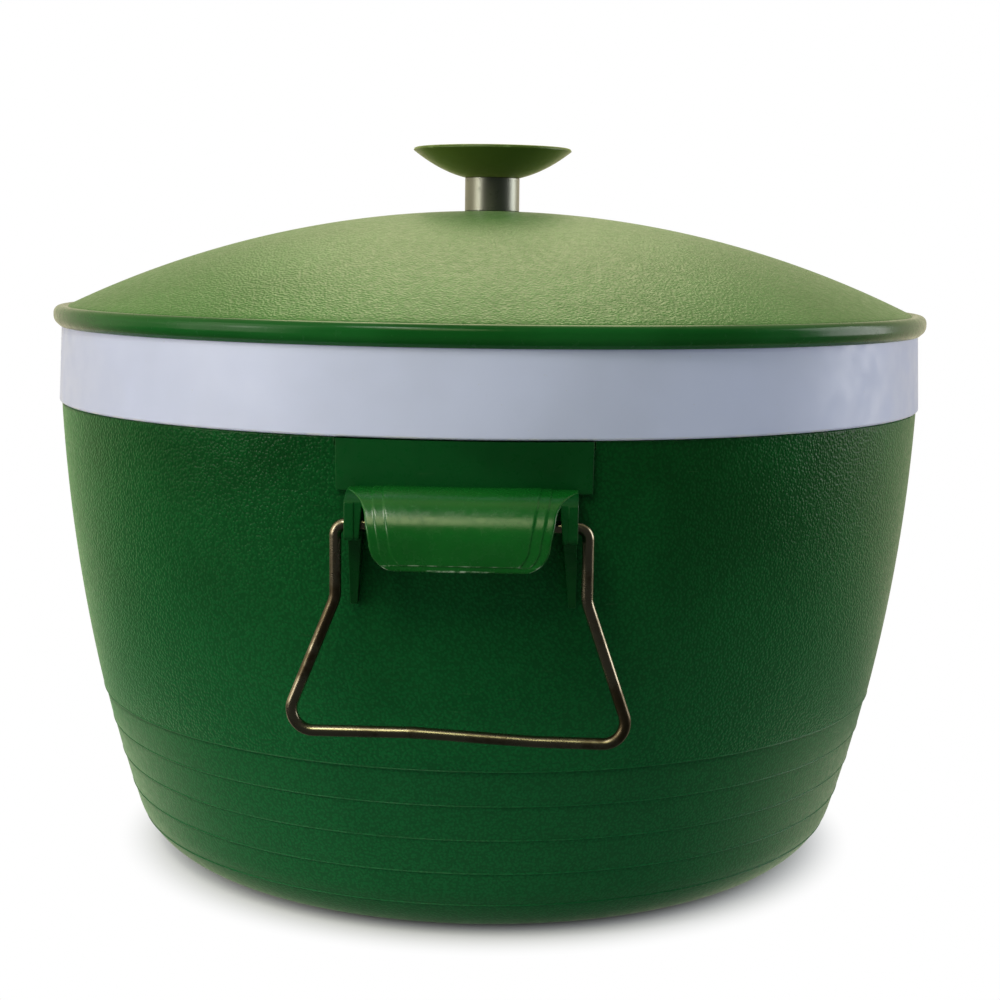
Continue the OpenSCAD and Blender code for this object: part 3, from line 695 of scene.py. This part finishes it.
def panOutline():
    top = lidSeat + pan["wall"]
    floor = panLow.z + pan["wall"]
    inside = panRadius - pan["wall"]
    return roundedLine([(0.0, panLow.z, 0), (panRadius, panLow.z, pan["corner"]),
                        (panRadius, lidSeat, pan["flangeEdge"]), (panHigh.x, lidSeat, pan["edge"]),
                        (panHigh.x, top, pan["edge"]), (inside, top, pan["flangeEdge"]),
                        (inside, floor, pan["corner"] - pan["wall"]), (0.0, floor, 0)], pan["steps"])


lidPan = turnPiece("lidPan", allRound(panOutline()), [whiteMoulding])
dressPiece(lidPan, "lid", "lid_liner")
print("lid turned:", len(lidCover.data.polygons) + len(lidPan.data.polygons), "faces")


# the knob: a green saucer on a chromed ferrule
knob = {"dish": 3.0, "edge": 0.9, "bow": 1.2, "spigotGap": 0.2, "stemWall": 0.8, "stemEdge": 0.3,
        "pilot": 2.05, "pilotTop": 4.4, "steps": 16, "edgeSteps": 8, "stemSteps": 5}
knobLow, knobHigh = nodeBox("knob_cap")
stemLow, stemHigh = nodeBox("knob_stem")
saucerRadius, stemRadius = knobHigh.x, stemHigh.x


# underside of the saucer: a bowed cone from the ferrule out to the edge
def saucerAt(radius):
    share = (radius - stemRadius) / (saucerRadius - stemRadius)
    rise = knobHigh.z - stemHigh.z - knob["edge"]
    return stemHigh.z + rise * share - knob["bow"] * 4 * share * (1 - share)


def saucerOutline():
    spigot = stemRadius - knob["stemWall"] - knob["spigotGap"]
    pilotTop = stemHigh.z + knob["pilotTop"]
    rimRadius = saucerRadius - knob["edge"]
    line = [(0.0, pilotTop), (knob["pilot"], pilotTop), (knob["pilot"], knobLow.z), (spigot, knobLow.z),
            (spigot, stemHigh.z)]
    span = saucerRadius - knob["edge"] / 2 - stemRadius
    under = [stemRadius + span * i / knob["steps"] for i in range(knob["steps"] + 1)]
    line += [(radius, saucerAt(radius)) for radius in under]
    line += arcLine((rimRadius, knobHigh.z - knob["edge"]), knob["edge"], 0, 90, knob["edgeSteps"])
    for i in range(knob["steps"] - 1, -1, -1):
        share = i / knob["steps"]
        line.append((rimRadius * share, knobHigh.z - knob["dish"] * (1 - share ** 2)))
    return line


def ferruleOutline():
    inside = stemRadius - knob["stemWall"]
    edge = knob["stemEdge"]
    return roundedLine([(stemRadius, stemLow.z, edge), (stemRadius, stemHigh.z, edge),
                        (inside, stemHigh.z, edge), (inside, stemLow.z, edge)], knob["stemSteps"])


knobSaucer = turnPiece("knobSaucer", allRound(saucerOutline()), [paintedWarmSaucerGreen])
dressPiece(knobSaucer, "lid", "knob_cap")
knobFerrule = turnPiece("knobFerrule", allRound(ferruleOutline()), [chrome])
dressPiece(knobFerrule, "lid", "knob_stem")
print("knob turned")


# a hand grip: plate on the barrel, hood for the fingers, two legs with pivot bosses
hood = {"bend": 13.0, "thick": 2.0, "drop": 20.8, "faceWidth": 50.0, "lowWidth": 47.6, "corner": 7.5,
        "flare": 7.0, "edge": 0.65, "rootIn": 1.0, "rootOut": 0.6, "stepsIn": (2.6, 5.5),
        "stepDrop": 0.22, "stepWidth": 0.42, "stepFade": 2.5, "lipHeight": 1.7, "lipDrop": 0.30,
        "lipSoft": 0.2, "lipRows": (0.2, 0.05, -0.1, -0.25), "rows": 30, "cornerRows": 30, "rowGap": 0.2,
        "edgeColumn": 0.7, "stepColumns": (-0.5, -0.25, 0.0, 0.25, 0.5), "stepClear": 0.6,
        "middleColumns": 18, "middleClear": 0.4, "endDegs": (0, 15, 35, 55, 75, 90)}
leg = {"rootIn": 25.8, "rootOut": 30.4, "footIn": 28.6, "footOut": 30.6, "bossOut": 30.8, "bossIn": 28.1,
       "wallRound": 2.3, "frontWall": 2.9, "edge": 0.35, "holeRadius": 1.69, "sunk": 0.6, "bossEdge": 1.6,
       "webBack": 0.3, "webIn": 2.3, "webEdge": 1.2, "footReach": 0.3, "footEdge": 0.6,
       "rows": 6, "crownSteps": 8, "holeSides": 24}
pivot = {"out": 147.9, "up": 127.2}
# hands and tables rub the hood's lower lip most, the rest keeps its colour
gripWear = {"faceFrom": 6, "faceTo": 3, "lipTo": 0.6, "lipFrom": 4, "elsewhere": 0.02}
gripLow, gripHigh = nodeBox("bracket_front")
plateLow = barrel["collarEdge"] - gripPlate["height"]
hoodRoot = plateLow + hood["thick"]
hoodOut = -gripLow.y
hoodLow = hoodRoot - hood["drop"]
bendOut, bendUp = hoodOut - hood["bend"], hoodRoot - hood["bend"]


def plateOutline(angle):
    thick, hug, edge = gripPlate["thick"], gripPlate["hug"], gripPlate["edge"]
    rows = gripPlate["rows"]
    # the face sinks a little at both ends, which rounds them
    fromEnd = (plateAngle - abs(angle)) * barrelRadius
    sunk = max(0.0, 1 - fromEnd / edge)
    face = hug + thick - edge * (1 - math.sqrt(1 - sunk ** 2))
    tongueIn = barrel["neck"] + hug
    tongueTop = barrel["collarEdge"] + gripPlate["tongue"]
    heights = [plateLow + (shoulderTop - plateLow) * i / rows for i in range(rows + 1)]
    lowEdge = (barrelAt(plateLow) + face - edge, plateLow + edge)
    line = [(barrelAt(plateLow) + hug, plateLow)]
    line += arcLine(lowEdge, edge, -90, 0, gripPlate["edgeSteps"])
    line += [(barrelAt(z) + face, z) for z in heights[1:]]
    line += [(tongueIn + thick, shoulderTop), (tongueIn + thick, tongueTop), (tongueIn, tongueTop),
             (tongueIn, shoulderTop - thick), (barrelRadius + hug, shoulderTop - thick)]
    line += [(barrelAt(z) + hug, z) for z in heights[-2:0:-1]]
    return line


def plateAngles():
    angles = [plateAngle * (2 * i / gripPlate["steps"] - 1) for i in range(1, gripPlate["steps"])]
    for share in gripPlate["endShares"]:
        inset = plateAngle - share * gripPlate["edge"] / barrelRadius
        angles += [-inset, inset]
    return sorted(angles)


# half the width of the hood's face at a height, a straight taper
def faceHalfWidth(height):
    cornerTop = hoodLow + hood["corner"]
    share = max(0.0, (height - cornerTop) / (hoodRoot - hood["flare"] - cornerTop))
    return hood["lowWidth"] / 2 + (hood["faceWidth"] - hood["lowWidth"]) / 2 * share


# half the hood's width at a height: flared at the root, tapered, then round corners
def hoodHalfWidth(height):
    flareUp = height - (hoodRoot - hood["flare"])
    cornerDown = hoodLow + hood["corner"] - height
    if flareUp > 0:
        spread = hood["flare"] - math.sqrt(max(0.0, hood["flare"] ** 2 - flareUp ** 2))
        return min(leg["bossOut"], hood["faceWidth"] / 2 + spread)
    if cornerDown > 0:
        reach = math.sqrt(max(0.0, hood["corner"] ** 2 - cornerDown ** 2))
        return hood["lowWidth"] / 2 - hood["corner"] + reach
    return faceHalfWidth(height)


# rows of the hood from its root to its lower lip: (out, up, direction of the face in degrees)
def hoodRows():
    rows = [(barrelRadius - hood["rootIn"], hoodRoot, 90.0), (bendOut - hood["rootOut"], hoodRoot, 90.0)]
    for i in range(hood["rows"] + 1):
        angle = 90.0 - 90.0 * i / hood["rows"]
        rows.append((bendOut + hood["bend"] * math.cos(math.radians(angle)),
                     bendUp + hood["bend"] * math.sin(math.radians(angle)), angle))
    cornerLine = arcLine((0, hoodLow + hood["corner"]), hood["corner"], 0, -90, hood["cornerRows"])
    heights = [up for across, up in cornerLine]
    heights += [hoodLow + hood["lipHeight"] + offset for offset in hood["lipRows"]]
    rows += [(hoodOut, z, 0.0) for z in sorted(heights, reverse=True) if z < bendUp - hood["rowGap"]]
    return rows


# points of one row across the hood: (across, lift from the face), once round the sheet
def hoodSection(height, onFace):
    half = hoodHalfWidth(height)
    flared = max(0.0, half - faceHalfWidth(height))  # the step lines run straight on past the flare
    edge = hood["edge"]
    lipTop = hoodLow + hood["lipHeight"]
    soft = hood["stepWidth"] / 2
    lipDrop, fade, nearLow = 0.0, 1.0, 0.0
    if onFace:
        lipDrop = hood["lipDrop"] * (1 - ease(height, lipTop - hood["lipSoft"], lipTop + hood["lipSoft"]))
        fade = ease(height, hoodLow, hoodLow + hood["stepFade"])   # the steps run out at the lip
        nearLow = min(1.0, max(0.0, 1 - (height - hoodLow) / edge))
    tuck = edge * (1 - math.sqrt(1 - nearLow ** 2))

    def lift(inset):
        steps = [1 - ease(inset - flared, s - soft, s + soft) for s in hood["stepsIn"]]
        return -max(hood["stepDrop"] * sum(steps) * fade, lipDrop) - tuck

    insets = [edge, edge + hood["edgeColumn"]]
    for s in hood["stepsIn"]:
        insets += [flared + s - hood["stepClear"], flared + s + hood["stepClear"]]
        insets += [flared + s + hood["stepWidth"] * share for share in hood["stepColumns"]]
    insets.sort()
    side = [(half - inset, lift(inset)) for inset in insets]
    inmost = half - insets[-1] - hood["middleClear"]
    columns = hood["middleColumns"]
    middle = [(inmost * (1 - 2 * k / columns), lift(half)) for k in range(columns + 1)]
    outer = side + middle + [(-across, up) for across, up in side[::-1]]   # from +X to -X
    under = -hood["thick"] + tuck
    top = outer[0][1]
    small = min(edge, (top - under) / 2)
    spokes = [(math.cos(math.radians(a)), math.sin(math.radians(a))) for a in hood["endDegs"]]
    endIn = edge - half
    leftEnd = [(endIn - edge * sine, top - small * (1 - cosine)) for cosine, sine in spokes[1:]]
    leftEnd += [(endIn - edge * cosine, under + small * (1 - sine)) for cosine, sine in spokes[:-1]]
    inner = [(across, under) for across, up in outer[::-1]]                # back from -X to +X
    rightEnd = [(-across, up) for across, up in leftEnd[::-1]]
    return outer, leftEnd, inner, rightEnd


def addHood(bm):
    rings = []
    for out, up, faceDeg in hoodRows():
        onFace = faceDeg == 0.0
        outer, leftEnd, inner, rightEnd = hoodSection(up, onFace)
        outward = (math.cos(math.radians(faceDeg)), math.sin(math.radians(faceDeg)))
        ring = []
        for across, lifted in outer + leftEnd + inner + rightEnd:
            spot = Vector((across, -(out + lifted * outward[0]), up + lifted * outward[1]))
            ring.append(bm.verts.new(spot * mm))
        rings.append(ring)
    count = len(rings[0])
    for here, below in zip(rings, rings[1:]):
        for i in range(count):
            j = (i + 1) % count
            bm.faces.new((here[i], here[j], below[j], below[i]))
    for ring in (rings[0], rings[-1]):
        bm.faces.new(ring)


# a flat part cut to an outline of (out, up), with a round hole and softened edges, standing across X
def cutPart(outline, hole, low, high, edge):
    curve = bpy.data.curves.new("cutPart", "CURVE")
    curve.dimensions = "2D"
    curve.fill_mode = "BOTH"
    curve.extrude = ((high - low) / 2 - edge) * mm
    curve.bevel_depth = edge * mm
    curve.bevel_resolution = 2
    curve.offset = -edge * mm
    flat = [[(out, up, 0) for out, up in line] for line in (outline, hole)]
    mesh = curveMesh(curve, flat, True)
    middle = (low + high) / 2 * mm
    mesh.transform(Matrix(((0, 0, 1, middle), (-1, 0, 0, 0), (0, 1, 0, 0), (0, 0, 0, 1))))
    return mesh


def addLegs(bm):
    reach = pivot["out"] + leg["holeRadius"] + leg["frontWall"]
    webReach = reach - leg["webBack"]
    bossLow = pivot["up"] - leg["holeRadius"] - leg["wallRound"]
    middle = (leg["rootIn"] + leg["bossOut"]) / 2

    def wallOut(height):
        return math.sqrt((barrelAt(height) + gripPlate["hug"]) ** 2 - middle ** 2)

    climb = [gripLow.z + (plateLow - gripLow.z) * i / leg["rows"] for i in range(leg["rows"] + 1)]
    sides = leg["holeSides"]
    hole = arcLine((pivot["out"], pivot["up"]), leg["holeRadius"], 0, 360 - 360 / sides, sides - 1)
    sheetMid = hood["bend"] - leg["sunk"]
    crown = bendUp + sheetMid

    # boss and web run up into the hood's sheet and follow its bend
    def crownLine(front):
        frontDeg = math.degrees(math.acos((front - bendOut) / sheetMid))
        bend = arcLine((bendOut, bendUp), sheetMid, 90, frontDeg, leg["crownSteps"])
        return [(wallOut(plateLow), crown, 0)] + [(out, up, 0) for out, up in bend]

    bossLine = [(reach, bossLow, leg["bossEdge"]), (wallOut(bossLow), bossLow, 0)] + crownLine(reach)
    webLine = [(webReach, bossLow, leg["bossEdge"]),
               (pivot["out"] - leg["webIn"], bossLow, leg["webEdge"]),
               (barrelAt(gripLow.z) + leg["footReach"], gripLow.z, leg["footEdge"])]
    webLine += [(wallOut(z), z, 0) for z in climb] + crownLine(webReach)
    boss, web = roundedLine(bossLine), roundedLine(webLine)
    for side in (1, -1):
        webMesh = cutPart(web, hole, leg["rootIn"], leg["rootOut"], leg["edge"])
        for vert in webMesh.vertices:
            share = min(1.0, (plateLow - vert.co.z / mm) / (plateLow - gripLow.z))
            inward = leg["rootIn"] + (leg["footIn"] - leg["rootIn"]) * share
            outward = leg["rootOut"] + (leg["footOut"] - leg["rootOut"]) * share
            across = (vert.co.x / mm - leg["rootIn"]) / (leg["rootOut"] - leg["rootIn"])
            vert.co.x = (inward + (outward - inward) * across) * mm
        bossMesh = cutPart(boss, hole, leg["bossIn"], leg["bossOut"], leg["edge"])
        for mesh in (webMesh, bossMesh):
            if side < 0:
                mesh.transform(Matrix.Scale(-1, 4, (1, 0, 0)))
            bm.from_mesh(mesh)
            bpy.data.meshes.remove(mesh)


def buildGrip(name, turnDeg, node):
    plate = turnPiece("gripPlate", plateOutline, [], angles=plateAngles())
    bm = bmesh.new()
    bm.from_mesh(plate.data)
    bpy.data.objects.remove(plate)
    plateFaces = len(bm.faces)
    addHood(bm)
    hoodFaces = len(bm.faces)
    addLegs(bm)
    # painted light: the hood stands out in the light, so it gets a lighter copy of the green than the
    # plate and the legs
    for i, face in enumerate(bm.faces):
        face.material_index = 0 if plateFaces <= i < hoodFaces else 1
    grip = placePiece(name, bm, turnDeg, [paintedLitHoodGreen, plateGreen])
    dressPiece(grip, "bucket", node)
    worn = grip.data.attributes["edge"].data
    for vert in grip.data.vertices:
        out, up = abs(vert.co.y) / mm, vert.co.z / mm
        onFace = ease(out, hoodOut - gripWear["faceFrom"], hoodOut - gripWear["faceTo"])
        nearLip = 1 - ease(up, hoodLow + gripWear["lipTo"], hoodLow + gripWear["lipFrom"])
        share = gripWear["elsewhere"]
        worn[vert.index].value *= share + (1 - share) * onFace * nearLip
    return grip


gripFront = buildGrip("gripFront", 0, "bracket_front")
gripRear = buildGrip("gripRear", 180, "bracket_rear")
print("grips built:", len(gripFront.data.polygons), "faces each")


# a bail: round wire bent at the pivots, knees and corners, its bar a little out of true from use
bail = {"radius": 1.6, "pinEnd": 22.3, "arm": 33.5, "upright": 19.8, "corner": 46.7, "farCorner": 48.2,
        "drop": 56.45, "pinBend": 3.0, "kneeBend": 9.0, "cornerBend": 6.0, "sagEnd": 20.0,
        "sagShare": 0.86, "straightEnd": -12.0, "barBend": 60.0, "sides": 10, "bendSteps": 14}


def buildBail(name, turnDeg, node, body, sag):
    low = -bail["drop"]
    arm = [(bail["pinEnd"], 0.0, 0), (bail["arm"], 0.0, bail["pinBend"]),
           (bail["arm"], -bail["upright"], bail["kneeBend"])]
    farArm = [(-across, up, bend) for across, up, bend in arm[::-1]]
    bar = [(bail["corner"], low - sag, bail["cornerBend"]),
           (bail["sagEnd"], low - bail["sagShare"] * sag, bail["barBend"]),
           (bail["straightEnd"], low, bail["barBend"]), (-bail["farCorner"], low, bail["cornerBend"])]
    path = [(across, -pivot["out"], pivot["up"] + up)
            for across, up in roundedLine(arm + bar + farArm, bail["bendSteps"])]
    curve = bpy.data.curves.new(name, "CURVE")
    curve.dimensions = "3D"
    curve.bevel_depth = bail["radius"] * mm
    curve.bevel_resolution = bail["sides"]
    curve.use_fill_caps = True
    mesh = curveMesh(curve, [path], False)
    bm = bmesh.new()
    bm.from_mesh(mesh)
    bpy.data.meshes.remove(mesh)
    wire = placePiece(name, bm, turnDeg, [wireSteel])
    dressPiece(wire, body, node)
    return wire


bailFront = buildBail("bailFront", 0, "bail_front", "front_bail", sag=2.0)
bailRear = buildBail("bailRear", 180, "bail_rear", "rear_bail", sag=0.8)
print("bails bent:", len(bailFront.data.polygons), "faces each")


# pieces whose CAD shape is right as it is, mostly out of sight
keptNodes = {"body_insulation": foam, "lid_insulation": foam, "knob_screw": zincSteel,
             "knob_washer": zincSteel, "bracket_rivets_front": zincSteel, "bracket_rivets_rear": zincSteel}
for nodeName, material in keptNodes.items():
    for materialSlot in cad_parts[nodeName].material_slots:
        materialSlot.material = material
print("kept nodes dressed:", len(keptNodes))


# stage, in metres: a grey floor that keeps the shadow under the object and goes white further out
stageFloor = {"size": 8.0, "drop": 0.0003, "colour": (0.55, 0.55, 0.55, 1), "rough": 0.9,
              "shadowTo": 0.099, "whiteFrom": 0.128, "mirrorFrom": -0.12, "mirrorTo": 0.36,
              "nearFrom": 0.16, "nearTo": 0.26, "besideFrom": -0.125, "besideTo": -0.04}


def greater(tree, first, second):
    return addNode(tree, "Math", {0: first, 1: second}, operation="MAXIMUM").outputs[0]


# rays that come straight to the camera, and rays that a shiny or clear piece sends on
def seenRays(tree):
    path = addNode(tree, "LightPath").outputs
    return path["Is Camera Ray"], greater(tree, path["Is Glossy Ray"], path["Is Transmission Ray"])


def buildFloor():
    half = stageFloor["size"] / 2
    mesh = bpy.data.meshes.new("stageFloor")
    corners = [(-half, -half, 0), (half, -half, 0), (half, half, 0), (-half, half, 0)]
    mesh.from_pydata(corners, [], [(0, 1, 2, 3)])
    floor = bpy.data.objects.new("stageFloor", mesh)
    floor.location.z = -stageFloor["drop"]
    bpy.context.scene.collection.objects.link(floor)
    material, tree, shader, place = newMaterial("stageFloor")
    setSockets(tree, shader, {"Base Color": stageFloor["colour"], "Roughness": stageFloor["rough"],
                              "Specular IOR Level": 0.0})
    distance = addNode(tree, "VectorMath", {0: place}, operation="LENGTH").outputs["Value"]
    fade = ranged(tree, distance, stageFloor["shadowTo"], stageFloor["whiteFrom"])
    camera, mirrored = seenRays(tree)
    # pieces mirror a warm white behind them and close beside them, and the dim room in front
    depth = addNode(tree, "SeparateXYZ", {0: place}).outputs["Y"]
    behind = ranged(tree, depth, stageFloor["mirrorFrom"], stageFloor["mirrorTo"])
    near = ranged(tree, distance, stageFloor["nearFrom"], stageFloor["nearTo"], 1.0, 0.0)
    beside = ranged(tree, depth, stageFloor["besideFrom"], stageFloor["besideTo"])
    pale = greater(tree, behind, times(tree, near, beside))
    mirrorColour = mixColour(tree, pale, studio["room"], studio["warmWhite"])
    mirror = addNode(tree, "Emission", {"Color": mirrorColour, "Strength": 1.0}).outputs["Emission"]
    white = addNode(tree, "Emission", {"Strength": 1.0}).outputs["Emission"]
    goesWhite = times(tree, fade, camera)
    plain = addNode(tree, "MixShader", {0: goesWhite, 1: shader.outputs["BSDF"], 2: white})
    mixed = addNode(tree, "MixShader", {0: mirrored, 1: plain.outputs["Shader"], 2: mirror})
    tree.links.new(mixed.outputs["Shader"], tree.nodes["Material Output"].inputs["Surface"])
    mesh.materials.append(material)


# studio: bluish soft light all round; shiny pieces mirror a warm white behind them, a warm ceiling
# and a dim room on the camera's side
studio = {"ambient": 0.25, "ambientColour": (0.61, 0.80, 1.08, 1), "room": (0.060, 0.064, 0.058, 1),
          "roomSide": (0.25, -0.97, 0.0), "roomFrom": -0.12, "roomTo": 0.42,
          "ceiling": (0.75, 0.68, 0.41, 1), "ceilingFrom": 0.12, "ceilingTo": 0.50,
          "warmWhite": (1.0, 0.90, 0.64, 1), "seenWhite": (1, 1, 1, 1)}


def buildWorld():
    world = bpy.data.worlds.new("studio")
    bpy.context.scene.world = world
    world.use_nodes = True
    tree = world.node_tree
    ambient = tree.nodes["Background"]
    ambient.inputs["Color"].default_value = studio["ambientColour"]
    ambient.inputs["Strength"].default_value = studio["ambient"]
    direction = addNode(tree, "TexCoord").outputs["Generated"]
    upward = addNode(tree, "SeparateXYZ", {0: direction}).outputs["Z"]
    facing = addNode(tree, "VectorMath", {0: direction, 1: studio["roomSide"]}, operation="DOT_PRODUCT")
    camera, mirrored = seenRays(tree)
    notCamera = addNode(tree, "Math", {0: 1.0, 1: camera}, operation="SUBTRACT").outputs[0]
    overhead = times(tree, ranged(tree, upward, studio["ceilingFrom"], studio["ceilingTo"]), notCamera)
    inFront = ranged(tree, facing.outputs["Value"], studio["roomFrom"], studio["roomTo"])
    room = times(tree, inFront, notCamera)
    colour = mixColour(tree, notCamera, studio["seenWhite"], studio["warmWhite"])
    colour = mixColour(tree, overhead, colour, studio["ceiling"])
    colour = mixColour(tree, room, colour, studio["room"])
    backdrop = addNode(tree, "Background", {"Color": colour, "Strength": 1.0}).outputs["Background"]
    seen = greater(tree, camera, mirrored)
    mixed = addNode(tree, "MixShader", {0: seen, 1: ambient.outputs["Background"], 2: backdrop})
    tree.links.new(mixed.outputs["Shader"], tree.nodes["World Output"].inputs["Surface"])


# lamps: soft panels, in metres and watts, all aimed at the middle of the object
lampAim = (0, 0, 0.12)
lamps = {
    "lampBack": {"place": (-0.05, 0.75, 1.05), "size": (0.7, 0.7), "power": 5.6,
                 "colour": (1.0, 0.92, 0.58)},
    "lampKey": {"place": (-0.42, -0.80, 1.20), "size": (0.30, 0.30), "power": 5.8,
                "colour": (1.0, 0.98, 0.88)},
    "lampFront": {"place": (-0.20, -1.0, 0.95), "size": (0.42, 0.40), "power": 3.3,
                  "colour": (0.97, 1.0, 0.56)},
    "lampLeft": {"place": (-1.02, -0.56, 0.52), "size": (0.7, 1.0), "power": 6.4,
                 "colour": (1.0, 0.92, 0.77)},
    "lampGlint": {"place": (-0.92, -0.62, 0.34), "size": (0.10, 0.28), "power": 1.2,
                  "colour": (1.0, 0.98, 0.92)},
    "lampRight": {"place": (1.12, 0.24, 0.42), "size": (0.6, 0.8), "power": 6.6,
                  "colour": (0.96, 0.97, 0.98)},
}


def buildLamps():
    for name, spec in lamps.items():
        light = bpy.data.lights.new(name, "AREA")
        light.shape = "RECTANGLE"
        light.size, light.size_y = spec["size"]
        light.energy = spec["power"]
        light.color = spec["colour"]
        lamp = bpy.data.objects.new(name, light)
        lamp.location = spec["place"]
        aim = Vector(lampAim) - lamp.location
        lamp.rotation_euler = aim.to_track_quat("-Z", "Y").to_euler()
        bpy.context.scene.collection.objects.link(lamp)


# camera: the photograph's viewpoint, a little to the right and above the rim
view = {"distance": 0.6186, "sideDeg": 2.72, "height": 0.1993, "yawDeg": 0.37, "downDeg": 7.87,
        "rollDeg": 0.753, "lens": 64.9, "sensor": 36.0}


def buildCamera():
    cameraData = bpy.data.cameras.new("camera")
    cameraData.lens = view["lens"]
    cameraData.sensor_width = view["sensor"]
    camera = bpy.data.objects.new("camera", cameraData)
    side = math.radians(view["sideDeg"])
    heading = Matrix.Rotation(math.radians(view["sideDeg"] - view["yawDeg"]), 4, "Z")
    tilt = Matrix.Rotation(math.radians(90 - view["downDeg"]), 4, "X")
    roll = Matrix.Rotation(math.radians(view["rollDeg"]), 4, "Z")
    away = view["distance"]
    spot = Vector((away * math.sin(side), -away * math.cos(side), view["height"]))
    camera.matrix_world = Matrix.Translation(spot) @ heading @ tilt @ roll
    bpy.context.scene.collection.objects.link(camera)
    bpy.context.scene.camera = camera


buildFloor()
buildWorld()
buildLamps()
buildCamera()
bpy.context.scene.view_settings.view_transform = "Standard"
print("stage, lamps and camera set")
